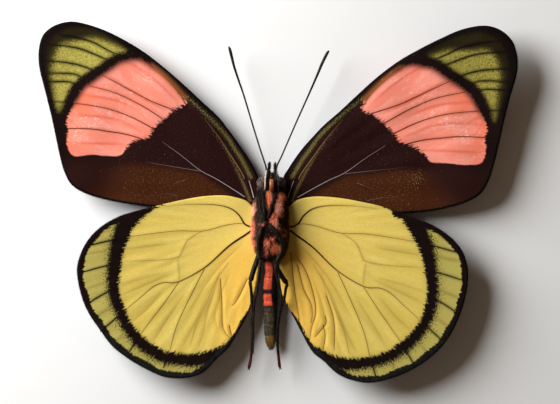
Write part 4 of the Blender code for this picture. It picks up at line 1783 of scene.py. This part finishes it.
@dataclass
class Eye:
    """A domed compound eye."""

    side: Side
    radius: float = 1.02
    offset: tuple[float, float, float] = (1.66, -0.02, 0.35)
    head: tuple[float, float, float] = (0.05, 6.15, 3.8)
    lens: float = 0.085

    def build(self, facets: Any, material: Material) -> None:
        """Makes the eye from a ball and its lenses.

        Args:
            facets: the tree that sets lenses.
            material: the eye's finish.
        """
        name = f"eye_{self.side.name.lower()}"
        bm = bmesh.new()
        bmesh.ops.create_icosphere(bm, subdivisions=4, radius=1.0)
        mesh = bpy.data.meshes.new(name)
        bm.to_mesh(mesh)
        bm.free()
        spread = np.array([self.side.value, 1.0, 1.0])
        middle = np.array(self.head) + np.array(self.offset) * spread
        move_corners(mesh, corners(mesh) * MM * self.radius + middle)
        ball = add_object(name + "_ball", mesh)
        ball.data.materials.append(material)
        # How much lighter mottle shows; the right eye's share is raised, partly as painted light against the
        # palps' shade
        worn = 1.0 if self.side is Side.LEFT else 0.6
        eye = grow(ball, facets, name + "_lenses", lens=self.lens * MM, material=material)
        store(eye.data, {"worn": np.full(len(eye.data.vertices), worn)})
        drop_object(ball)
        hand_over(eye, "eye", name)


@dataclass
class Abdomen:
    """The ringed abdomen with its cover of short scales."""

    rows: Rows = (
        (-0.15, -7.4, 3.3, 0.95), (-0.12, -9.6, 3.2, 1.0), (-0.1, -11.8, 3.05, 1.15),
        (-0.1, -14.1, 2.9, 1.25), (-0.08, -16.3, 2.75, 1.25), (-0.05, -18.5, 2.6, 1.2),
        (-0.1, -20.8, 2.45, 1.14), (-0.08, -23.2, 2.3, 0.98), (0.0, -24.6, 2.22, 0.62),
        (0.08, -25.3, 2.2, 0.16),
    )
    ring: float = 2.2
    # The red's right edge stays near the middle, so the right half stays near black: partly painted shade
    red_edges: Rows = (
        (-17.1, -1.5, 0.3), (-15.0, -1.6, 0.05), (-13.6, -1.5, 0.12), (-12.0, -1.25, 0.2),
        (-10.7, -0.95, 0.36), (-9.0, -1.05, 0.25), (-8.0, -0.6, 0.3),
    )

    def shades(self, points: np.ndarray) -> Fields:
        """Gives each point its share of red, olive and tan.

        Args:
            points: the points, one row each.

        Returns:
            Values by name.
        """
        x, y, z = points.T
        ys, left, right = np.array(self.red_edges).T
        inside = np.minimum(x - np.interp(y, ys, left), np.interp(y, ys, right) - x)
        lengthwise = np.minimum(y + 17.1, -8.2 - y)
        stripe = np.minimum(inside, lengthwise)
        black = np.minimum(y + 14.85, -14.0 - y)
        red = np.minimum(stripe, -black)
        red = np.where(z < 2.4, -1.0, red)
        return {
            "red": red,
            "olive": soft_step(-y, 17.0, 18.0) * soft_step(0.9 - x, 0.0, 0.7),
            "tan": soft_step(-y, 22.2, 23.4) * soft_step(y, -25.0, -24.5) * soft_step(0.9 - x, 0.0, 0.5),
        }

    def build(self, rods: Any, coat: Any, material: Material) -> None:
        """Makes the abdomen and its scales.

        Args:
            rods: the tree that draws rods.
            coat: the tree that grows scales.
            material: the abdomen's finish.
        """
        strand = Strand.through(self.rows, 0.12)
        arc = arc_length(strand.points)
        notch = np.abs(((arc / self.ring) % 1.0) - 0.5) * 2.0
        strand.values["girth"] *= 1.0 - 0.09 * soft_step(notch, 0.75, 1.0)
        path = strand_object("abdomen_path", [strand])
        skin = grow(path, rods, "abdomen_skin", sides=40, material=material)
        drop_object(path)
        points = corners(skin.data)
        ones = np.ones(len(points))
        flow = np.column_stack([0.0 * ones, -ones, 0.0 * ones])
        store(skin.data, {
            **self.shades(points), "flow": flow, "cover": ones,
            "reach": 1.0 + 0.5 * soft_step(-points[:, 1], 22.0, 25.0),
        })
        hair = grow(
            skin, coat, "abdomen_scales", density=48.0 / MM**2, length=0.42 * MM,
            thickness=0.05 * MM, lean=3.2, spread=0.5, curl=0.0, seed=11, material=material,
        )
        hand_over(skin, "abdomen", "abdomen")
        hand_over(hair, "abdomen")


@dataclass
class Tongue:
    """The coiled tongue between the palps."""

    centre: tuple[float, float, float] = (0.12, 5.75, 6.95)
    outer: float = 1.15
    inner: float = 0.3
    turns: float = 2.4
    radius: float = 0.16
    width: float = 2.7
    ring: float = 0.16

    def build(self, rods: Any, material: Material) -> None:
        """Winds the tongue and rings it.

        Args:
            rods: the tree that draws rods.
            material: its finish.
        """
        share = np.linspace(0.0, 1.0, 260)
        reach = self.inner + (self.outer - self.inner) * share
        angle = -math.pi / 2 - 2 * math.pi * self.turns * (1 - share)
        x, y, z = self.centre
        points = np.column_stack([
            np.zeros(len(share)), y + reach * np.cos(angle), z + reach * np.sin(angle)
        ])
        arc = arc_length(points)
        girth = self.radius * (1.0 - 0.14 * np.abs(np.sin(math.pi * arc / self.ring)))
        path = strand_object("tongue_path", [Strand(points, {"girth": girth * MM})])
        coil = grow(path, rods, "tongue_coil", sides=12, material=material)
        drop_object(path)
        wound = corners(coil.data)
        wound[:, 0] = wound[:, 0] * self.width + x
        move_corners(coil.data, wound)
        hand_over(coil, "tongue", "tongue")


@dataclass
class Limb:
    """A leg, an antenna or a palp: jointed, ringed where it is, with bristles or scales."""

    name: str
    rows: Rows
    joints: tuple[float, ...] = ()
    ringed: tuple[float, float] = (1.0, 1.0)
    ring: float = 0.45
    ring_depth: float = 0.14
    tinge: tuple[float, float] = (2.0, 3.0)
    spine: float = 0.0
    spacing: float = 0.22
    claws: bool = False
    fur: float = 0.0
    pale_side: float = 0.0
    sides: int = 12

    def main_strand(self) -> Strand:
        """Draws the limb's middle line with its joints and rings.

        Returns:
            The strand.
        """
        strand = Strand.through(self.rows, 0.07)
        share, arc = strand.values["share"], arc_length(strand.points)
        girth = strand.values["girth"]
        for joint in self.joints:
            away = (share - joint) * arc[-1]
            girth = girth * (1.0 - 0.32 * np.exp(-((away / 0.16) ** 2)))
            girth = girth * (1.0 + 0.16 * np.exp(-(((away + 0.5) / 0.35) ** 2)))
        worn = (arc / self.ring) % 1.0
        rings = 1.0 - self.ring_depth * worn**3
        low, high = self.ringed
        girth = np.where((share > low) & (share < high), girth * rings, girth)
        strand.values["girth"] = girth
        strand.values["tinge"] = soft_step(share, *self.tinge)
        knees = [np.exp(-(((share - joint) * arc[-1] / 0.22) ** 2)) for joint in self.joints[:1]]
        strand.values["pale"] = 0.0 * share + (0.3 * sum(knees) if knees else 0.0)
        return strand

    def claw_strands(self, strand: Strand) -> list[Strand]:
        """Draws the two small claws at the limb's end.

        Args:
            strand: the limb's middle line.

        Returns:
            The claws.
        """
        end = strand.points[-1]
        along = strand.points[-1] - strand.points[-8]
        along /= np.linalg.norm(along)
        across = np.cross(along, (0.0, 0.0, 1.0))
        claws = []
        for sign in (-1.0, 1.0):
            rows = [
                (*(end - along * 0.1), 0.07), (*(end + along * 0.14 + across * 0.16 * sign), 0.06),
                (*(end + along * 0.3 + across * 0.2 * sign - np.array([0, 0, 0.1])), 0.02),
            ]
            claw = Strand.through(rows, 0.06)
            claw.values.update({key: 0.0 * claw.values["share"] for key in ("tinge", "pale")})
            claws.append(claw)
        return claws

    def build(self, slot: str, rods: Any, bristles: Any, coat: Any, material: Material) -> None:
        """Makes the limb and what grows on it, as one piece.

        Args:
            slot: the record's material slot.
            rods: the tree that draws rods.
            bristles: the tree that sets spines.
            coat: the tree that grows scales.
            material: its finish.
        """
        strand = self.main_strand()
        strands = [strand] + (self.claw_strands(strand) if self.claws else [])
        path = strand_object(self.name + "_path", strands)
        limb = grow(path, rods, self.name + "_limb", sides=self.sides, material=material)
        drop_object(path)
        pieces = [limb]
        if self.pale_side:
            x = corners(limb.data)[:, 0]
            middle = np.interp(corners(limb.data)[:, 1], strand.points[:, 1], strand.points[:, 0])
            share = abs(self.pale_side)
            away = (x - middle) * math.copysign(1.0, self.pale_side)
            store(limb.data, {"pale": share * soft_step(away, 0.2 * share, 0.36 * share)})
        if self.spine:
            bare = np.zeros((len(strand.points), 3))
            thorny = strand.values["share"] > 0.3
            path = strand_object(self.name + "_spines", [Strand(strand.points[thorny], {
                "aim": bare[thorny], "tinge": strand.values["tinge"][thorny],
                "pale": strand.values["pale"][thorny],
            })])
            pieces.append(grow(
                path, bristles, self.name + "_bristles", spacing=self.spacing * MM,
                length=self.spine * MM, thickness=0.028 * MM, side=1.0, lean=0.9, seed=2,
                material=material,
            ))
            drop_object(path)
        if self.fur:
            count = len(limb.data.vertices)
            along = strand.points[-1] - strand.points[0]
            flow = np.tile(along / np.linalg.norm(along), (count, 1))
            store(limb.data, {"flow": flow, "cover": np.ones(count), "reach": np.ones(count)})
            pieces.append(grow(
                limb, coat, self.name + "_scales", density=70.0 / MM**2, length=self.fur * MM,
                thickness=0.028 * MM, lean=1.6, spread=0.4, curl=0.0, seed=4, material=material,
            ))
        whole = merge(self.name + "_limb", pieces) if len(pieces) > 1 else limb
        hand_over(whole, slot, self.name)


# Tables of the specimen

FOREWING_RIGHT: Rows = (
    (2.3, 7.0), (3.3, 8.8), (4.6, 10.8), (6.2, 12.9), (8.0, 14.9), (10.0, 17.0), (13.0, 19.6),
    (16.0, 22.4), (20.0, 26.0), (24.0, 29.0), (28.0, 31.3), (32.0, 33.3),
    (36.0, 35.0), (40.0, 35.7), (43.0, 35.0), (45.2, 33.2), (46.2, 31.0),
    (46.5, 28.5), (46.2, 26.0), (45.0, 22.0), (43.9, 17.6), (42.9, 13.0),
    (41.9, 9.0), (41.0, 6.4), (39.6, 4.1), (37.0, 2.5), (33.0, 1.3), (28.0, 0.5),
    (20.0, 0.2), (12.0, 0.2), (6.0, 0.3), (2.4, 0.4), (2.0, 3.6),
)
FOREWING_LEFT: Rows = (
    (2.4, 7.1), (4.0, 10.3), (6.0, 13.3), (8.0, 16.1), (10.0, 18.6), (13.0, 21.4),
    (16.0, 24.2), (20.0, 27.7), (24.0, 30.8), (28.0, 33.2), (32.0, 35.1),
    (36.0, 36.3), (38.5, 36.4), (41.0, 35.6), (42.8, 34.1), (43.6, 32.0),
    (43.8, 29.5), (43.5, 27.0), (42.6, 23.5), (41.5, 19.0), (40.6, 14.8),
    (39.8, 11.0), (39.0, 8.2), (37.7, 5.8), (35.5, 4.3), (32.0, 3.1),
    (27.0, 2.1), (20.0, 1.3), (12.0, 0.8), (6.0, 0.5), (2.4, 0.4), (2.0, 3.6),
)
HINDWING_RIGHT: Rows = (
    (2.4, 0.6), (3.6, 1.7), (4.6, 2.6), (6.2, 3.2), (9.0, 3.5), (13.0, 3.2), (17.0, 2.5),
    (21.0, 1.6), (24.0, 0.4), (28.0, -0.9), (31.0, -2.2), (34.0, -4.3), (36.0, -6.7),
    (37.0, -9.6), (37.1, -12.6), (36.5, -16.0), (35.4, -19.3), (33.6, -22.9),
    (31.0, -26.0), (27.5, -28.6), (23.5, -30.5), (19.0, -31.6), (15.5, -31.2),
    (12.5, -29.9), (10.0, -27.6), (8.0, -26.0), (6.6, -23.8), (4.6, -20.0),
    (3.2, -17.4), (2.3, -15.4), (1.8, -13.0), (1.6, -10.5), (1.7, -8.0), (1.8, -4.0),
)
HINDWING_LEFT: Rows = (
    (2.4, 0.6), (3.6, 1.7), (4.6, 2.6), (6.2, 3.2), (9.0, 3.7), (13.0, 3.5), (17.0, 2.8),
    (21.0, 1.9), (25.0, 0.9), (28.0, 0.0), (31.0, -1.5), (33.5, -3.5),
    (35.4, -6.2), (36.5, -9.5), (36.4, -12.2), (35.6, -15.6), (34.3, -18.6),
    (32.4, -21.4), (30.0, -24.6), (27.0, -27.0), (24.0, -28.8), (20.5, -30.4),
    (17.5, -30.8), (14.5, -30.4), (12.3, -29.3), (10.3, -27.2), (8.0, -25.0),
    (6.4, -22.4), (5.0, -20.0), (4.0, -17.8), (3.3, -15.4), (2.7, -13.0),
    (2.4, -10.5), (2.2, -8.0), (1.8, -4.0),
)
CORAL_RIGHT: Rows = (
    (17.4, 19.8), (17.9, 21.5), (19.8, 24.0), (22.5, 26.8), (26.0, 28.5), (29.0, 28.2),
    (31.0, 27.6), (33.0, 26.2), (36.4, 23.9), (38.0, 22.2), (39.0, 20.5), (39.9, 18.7),
    (40.8, 16.2), (40.3, 14.6), (40.5, 12.5), (40.2, 10.6), (39.2, 9.6), (36.0, 9.5),
    (33.0, 9.8), (30.2, 10.0), (29.5, 11.0), (28.5, 12.0), (27.0, 13.1), (24.5, 13.8),
    (23.5, 15.2), (22.2, 16.6), (20.6, 18.1), (19.3, 19.1),
)
CORAL_LEFT: Rows = (
    (16.2, 21.1), (17.4, 23.0), (19.2, 25.2), (21.4, 27.4), (24.0, 29.3), (26.0, 29.6),
    (28.5, 29.0), (30.0, 28.0), (31.5, 27.0), (33.5, 25.5), (35.3, 24.2), (36.5, 22.5),
    (37.5, 20.5), (38.6, 17.8), (38.2, 16.3), (38.5, 14.6), (38.3, 12.6), (37.1, 11.1),
    (34.0, 11.4), (28.7, 11.2), (27.2, 13.1), (25.5, 14.2), (24.0, 14.4), (22.7, 15.3),
    (22.2, 16.5), (20.4, 18.1), (18.8, 19.5), (17.8, 20.3),
)
OLIVE_RIGHT: Rows = (
    (29.4, 30.5), (32.5, 32.5), (36.0, 33.8), (39.5, 34.3), (42.4, 33.2), (44.2, 30.6),
    (44.7, 27.0), (44.2, 23.4), (43.3, 20.0), (42.5, 17.6), (41.9, 17.8), (41.2, 20.6),
    (40.2, 22.8), (38.8, 24.6), (36.8, 26.0), (34.6, 27.4), (32.6, 28.9), (31.0, 29.7),
)
OLIVE_LEFT: Rows = (
    (27.2, 31.2), (29.8, 33.2), (33.2, 34.9), (36.8, 35.4), (40.2, 34.2), (42.0, 31.2),
    (42.3, 27.8), (41.7, 24.4), (41.0, 21.6), (40.2, 19.4), (39.5, 19.8), (38.9, 22.0),
    (38.0, 24.0), (36.6, 25.6), (34.8, 27.0), (32.6, 28.4), (30.6, 29.8), (29.0, 30.6),
)
BAND_RIGHT: Rows = (
    (17.0, 2.45, -0.4), (20.5, 1.65, -0.15), (23.8, 0.9, 0.5), (25.8, -0.4, 1.2),
    (27.3, -2.0, 1.5), (28.3, -4.0, 1.4), (29.2, -6.0, 1.3),
    (29.7, -8.0, 1.15), (30.0, -10.0, 1.05), (30.3, -12.0, 1.0), (30.45, -14.0, 0.92),
    (30.35, -16.0, 0.95), (29.85, -18.0, 0.95), (29.1, -20.0, 0.88), (27.8, -22.0, 0.95),
    (25.8, -24.2, 0.95), (23.5, -25.9, 0.95), (21.0, -27.1, 0.95), (18.0, -27.75, 0.92),
    (15.0, -28.05, 1.0), (12.5, -27.9, 1.15), (10.5, -26.9, 0.95), (8.6, -25.6, 0.6),
    (7.3, -24.4, 0.2),
)
BAND_LEFT: Rows = (
    (16.0, 2.9, -0.4), (19.5, 2.15, -0.15), (22.6, 1.2, 0.4), (25.0, 0.1, 1.1),
    (27.4, -1.9, 1.4), (28.2, -4.0, 1.45), (28.9, -6.0, 1.3),
    (29.2, -8.0, 1.2), (29.5, -10.0, 1.15), (29.7, -12.0, 1.0), (29.6, -14.0, 0.95),
    (29.2, -16.0, 0.95), (28.4, -18.0, 0.88), (27.6, -20.0, 0.88), (26.2, -22.1, 0.92),
    (24.5, -24.0, 0.98), (22.5, -25.5, 1.0), (20.0, -26.7, 1.0), (17.5, -27.1, 1.0),
    (15.0, -27.3, 1.05), (12.5, -27.0, 1.1), (10.5, -26.2, 0.9), (8.5, -24.8, 0.5),
    (7.4, -23.6, 0.2),
)
CREASES_RIGHT: tuple[Rows, ...] = (
    ((3.7, -7.0), (4.0, -10.0), (4.3, -13.0), (4.8, -16.5), (5.4, -20.0)),
    ((5.2, -8.4), (6.4, -10.3), (7.5, -13.1), (8.3, -16.4), (8.4, -18.8), (7.7, -21.1), (7.2, -24.0)),
    ((5.0, -9.4), (6.2, -14.1), (7.5, -16.6), (7.8, -18.8), (7.5, -20.4)),
    ((10.2, -19.0), (10.4, -20.4), (9.4, -21.8), (8.3, -23.0)),
    ((9.8, -20.8), (10.2, -22.4), (10.1, -24.0), (9.8, -25.4)),
    ((10.4, -15.2), (11.6, -18.7), (12.0, -21.6), (11.9, -25.6)),
)
CREASES_LEFT: tuple[Rows, ...] = (
    ((9.6, -12.0), (9.3, -16.5), (9.2, -20.5), (8.7, -22.2), (7.7, -23.3)),
    ((4.5, -12.0), (5.6, -14.5), (6.6, -16.3), (7.4, -17.2)),
    ((7.9, -20.8), (7.6, -22.3), (7.2, -23.4)),
)
ANTENNA_LEFT: Rows = (
    (-0.75, 7.6, 3.7, 0.2), (-0.98, 9.2, 3.6, 0.17), (-1.5, 10.8, 3.7, 0.15),
    (-2.6, 14.2, 3.9, 0.15), (-4.2, 19.5, 4.3, 0.16), (-5.2, 22.8, 4.5, 0.17),
    (-6.1, 25.4, 4.7, 0.2), (-6.95, 28.0, 4.9, 0.24), (-7.4, 29.8, 5.0, 0.28),
    (-7.75, 31.2, 5.1, 0.28), (-8.0, 31.8, 5.1, 0.1),
)
ANTENNA_RIGHT: Rows = (
    (0.85, 7.6, 3.7, 0.2), (1.15, 9.3, 3.6, 0.17), (2.0, 11.1, 3.7, 0.15),
    (3.6, 14.8, 3.9, 0.15), (5.4, 18.9, 4.2, 0.16), (6.8, 22.0, 4.4, 0.17),
    (7.9, 24.5, 4.6, 0.2), (8.9, 26.8, 4.8, 0.24), (9.7, 28.7, 4.9, 0.28),
    (10.6, 30.5, 5.0, 0.27), (11.0, 31.0, 5.0, 0.1),
)
PALP_LEFT: Rows = (
    (-0.85, 4.4, 5.8, 0.28), (-0.8, 5.6, 6.2, 0.36), (-0.72, 7.0, 6.3, 0.4),
    (-0.5, 8.3, 6.0, 0.34), (-0.33, 9.2, 5.6, 0.3), (-0.28, 9.7, 5.35, 0.24), (-0.25, 9.95, 5.2, 0.1),
)
PALP_RIGHT: Rows = (
    (1.05, 4.4, 5.8, 0.24), (1.08, 5.6, 6.2, 0.3), (0.98, 7.0, 6.3, 0.33),
    (0.8, 8.3, 6.0, 0.28), (0.8, 9.2, 5.6, 0.26), (0.8, 9.65, 5.35, 0.2), (0.82, 9.9, 5.2, 0.1),
)
MIDLEG_LEFT: Rows = (
    (-1.6, -2.2, 7.9, 0.42), (-2.1, -3.6, 7.9, 0.45), (-2.3, -5.2, 7.6, 0.42),
    (-2.2, -7.0, 7.3, 0.36), (-2.0, -8.6, 7.1, 0.3), (-2.15, -10.5, 6.9, 0.28),
    (-2.35, -12.5, 6.7, 0.26), (-2.7, -14.5, 6.5, 0.25), (-3.1, -16.5, 6.3, 0.23),
    (-3.3, -19.5, 6.0, 0.2), (-3.3, -23.0, 5.6, 0.18), (-3.4, -26.0, 5.2, 0.15),
)
MIDLEG_RIGHT: Rows = (
    (-0.5, -1.8, 8.6, 0.36), (0.6, -2.8, 8.6, 0.42), (1.6, -4.0, 8.3, 0.42),
    (2.2, -5.4, 7.7, 0.4), (1.9, -6.9, 7.4, 0.34), (1.1, -8.6, 7.2, 0.3),
    (0.9, -10.2, 7.0, 0.28), (1.2, -12.0, 6.8, 0.26), (1.7, -14.0, 6.6, 0.25),
    (2.0, -15.8, 6.4, 0.23), (1.7, -18.0, 6.1, 0.2), (1.2, -21.0, 5.7, 0.18),
    (1.1, -24.5, 5.3, 0.15),
)
HINDLEG_LEFT: Rows = (
    (-2.0, -6.6, 5.6, 0.4), (-2.5, -8.2, 5.6, 0.5), (-3.2, -10.2, 5.5, 0.5),
    (-3.8, -12.2, 5.4, 0.44), (-3.9, -12.9, 5.4, 0.34), (-3.75, -14.0, 5.4, 0.28),
    (-3.6, -17.0, 5.2, 0.3), (-3.55, -20.5, 4.9, 0.3), (-3.6, -24.5, 4.5, 0.28),
    (-3.8, -27.0, 4.2, 0.28), (-4.1, -28.5, 4.0, 0.32), (-4.2, -29.1, 3.9, 0.18),
)
HINDLEG_RIGHT: Rows = (
    (0.6, -7.9, 5.7, 0.36), (0.8, -9.2, 5.7, 0.46), (1.5, -10.7, 5.6, 0.5),
    (2.4, -12.1, 5.5, 0.46), (3.0, -13.0, 5.4, 0.38), (2.8, -13.9, 5.4, 0.28),
    (2.5, -15.6, 5.3, 0.28), (1.7, -18.4, 5.0, 0.3), (1.3, -21.0, 4.8, 0.3),
    (1.25, -24.5, 4.5, 0.28), (1.45, -27.0, 4.2, 0.28), (1.6, -28.4, 4.0, 0.3),
    (1.75, -29.0, 3.9, 0.18),
)
FORELEG_LEFT: Rows = (
    (-1.15, -0.9, 8.1, 0.3), (-1.25, 0.8, 8.0, 0.36), (-1.4, 2.4, 7.6, 0.36),
    (-1.55, 3.8, 6.7, 0.33), (-1.75, 4.3, 6.2, 0.3), (-2.05, 4.5, 5.6, 0.28),
    (-2.35, 4.2, 5.3, 0.3), (-2.3, 3.4, 5.9, 0.32), (-2.08, 1.8, 6.8, 0.32),
    (-1.85, 0.4, 7.4, 0.24),
)
FORELEG_RIGHT: Rows = (
    (-0.6, -0.6, 8.3, 0.22), (-0.15, 0.7, 8.3, 0.26), (0.2, 2.0, 8.0, 0.26),
    (0.75, 3.3, 7.2, 0.24), (1.3, 4.2, 5.9, 0.16),
)


# The stage


@dataclass(frozen=True)
class Stage:
    """The pale floor, the soft light from the upper left, and the camera overhead."""

    centre: tuple[float, float] = (1.70, 2.45)
    view_width: float = 105.66
    focus_height: float = 5.0
    distance: float = 700.0
    floor_size: float = 1500.0
    window: tuple[float, float, float] = (-225.0, 140.0, 170.0)
    window_size: float = 250.0
    window_power: float = 1.98
    sky: str = "#FFDBB6"
    sky_strength: float = 0.092

    def camera(self) -> None:
        """Sets the camera straight above the specimen, with its head at the top."""
        data = bpy.data.cameras.new("overhead")
        data.lens = data.sensor_width * self.distance / self.view_width
        data.clip_end = 10.0
        camera = bpy.data.objects.new("overhead", data)
        camera.location = (
            self.centre[0] * MM, self.centre[1] * MM, (self.focus_height + self.distance) * MM
        )
        bpy.context.scene.collection.objects.link(camera)
        bpy.context.scene.camera = camera
        bpy.context.scene.view_settings.view_transform = "Standard"

    def lights(self) -> None:
        """Adds a soft lamp at the upper left, and a weak even light from all round."""
        data = bpy.data.lights.new("window", "AREA")
        data.shape = "DISK"
        data.size = self.window_size * MM
        data.energy = self.window_power
        lamp = bpy.data.objects.new("window", data)
        x, y, z = self.window
        lamp.location = (x * MM, y * MM, z * MM)
        lamp.rotation_euler = (math.atan2(math.hypot(x, y), z), 0.0, math.atan2(x, -y))
        bpy.context.scene.collection.objects.link(lamp)
        world = bpy.data.worlds.new("room")
        world.use_nodes = True
        sky = world.node_tree.nodes["Background"]
        sky.inputs["Color"].default_value = linear(self.sky)
        sky.inputs["Strength"].default_value = self.sky_strength
        bpy.context.scene.world = world

    def floor(self) -> None:
        """Lays the pale paper under the specimen."""
        bm = bmesh.new()
        bmesh.ops.create_grid(bm, x_segments=1, y_segments=1, size=self.floor_size / 2 * MM)
        mesh = bpy.data.meshes.new("floor")
        bm.to_mesh(mesh)
        bm.free()
        mesh.materials.append(BackingPaper().build())
        add_object("floor", mesh)

    def build(self) -> None:
        """Makes the whole stage."""
        self.camera()
        self.lights()
        self.floor()


def make_wings(rods: Any, bristles: Any) -> None:
    """Makes the four wings.

    Args:
        rods: the tree that draws rods.
        bristles: the tree that sets bristles.
    """
    fore, hind = ForewingScales().build(), HindwingScales().build()
    Forewing(
        # The right wing's larger dusky adds painted shade to its olive tip
        Side.RIGHT, FOREWING_RIGHT, patch=CORAL_RIGHT, tip=OLIVE_RIGHT, dusky=1.5
    ).build(rods, bristles, fore)
    Forewing(
        Side.LEFT, FOREWING_LEFT, turn=3.2, scale=0.97, patch=CORAL_LEFT, tip=OLIVE_LEFT
    ).build(rods, bristles, fore)
    Hindwing(
        Side.RIGHT, HINDWING_RIGHT, band=BAND_RIGHT, creases=CREASES_RIGHT
    ).build(rods, bristles, hind)
    Hindwing(
        Side.LEFT, HINDWING_LEFT, turn=2.2, scale=0.965, band=BAND_LEFT, creases=CREASES_LEFT
    ).build(rods, bristles, hind)


def make_body(rods: Any, coat: Any) -> None:
    """Makes the thorax, head, eyes, abdomen and tongue.

    Args:
        rods: the tree that draws rods.
        coat: the tree that grows hair.
    """
    fur, lenses, facets = Fur().build(), EyeLenses().build(), facet_tree()
    torso = Torso()
    torso.thorax(coat, fur)
    torso.head(coat, fur)
    for side in Side:
        Eye(side).build(facets, lenses)
    Abdomen().build(rods, coat, AbdomenScales().build())
    Tongue().build(rods, TongueCuticle().build())


def make_limbs(rods: Any, bristles: Any, coat: Any) -> None:
    """Makes the antennae, the palps and the six legs.

    Args:
        rods: the tree that draws rods.
        bristles: the tree that sets spines.
        coat: the tree that grows scales.
    """
    cuticle = Cuticle().build()
    tarsus = {"ringed": (0.66, 1.0), "ring": 1.1}
    tinge = (0.84, 0.92)
    limbs = (
        Limb("antenna_left", ANTENNA_LEFT, ringed=(0.0, 0.98), ring=0.42),
        Limb("antenna_right", ANTENNA_RIGHT, ringed=(0.0, 0.98), ring=0.42),
        Limb("palp_left", PALP_LEFT, joints=(0.72,), fur=0.3, pale_side=-1.0),
        Limb("palp_right", PALP_RIGHT, joints=(0.72,), fur=0.3, pale_side=0.5),
        Limb("midleg_left", MIDLEG_LEFT, joints=(0.27,), spine=0.3, claws=True, **tarsus),
        Limb("midleg_right", MIDLEG_RIGHT, joints=(0.3,), spine=0.3, claws=True, **tarsus),
        Limb("hindleg_left", HINDLEG_LEFT, (0.27,), spine=0.3, claws=True, tinge=tinge, **tarsus),
        Limb("hindleg_right", HINDLEG_RIGHT, (0.26,), spine=0.3, claws=True, tinge=tinge, **tarsus),
        Limb("foreleg_left", FORELEG_LEFT, joints=(0.48,), fur=0.35),
        Limb("foreleg_right", FORELEG_RIGHT, joints=(0.5,), fur=0.3),
    )
    for limb in limbs:
        limb.build("chitin", rods, bristles, coat, cuticle)


def main() -> None:
    """Makes the stage and the specimen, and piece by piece."""
    logging.basicConfig(level=logging.INFO, format="%(name)s: %(message)s")
    Stage().build()
    rods, bristles, coat = rod_tree(), bristle_tree(), coat_tree()
    make_wings(rods, bristles)
    make_body(rods, coat)
    make_limbs(rods, bristles, coat)


if __name__ == "__main__":
    main()
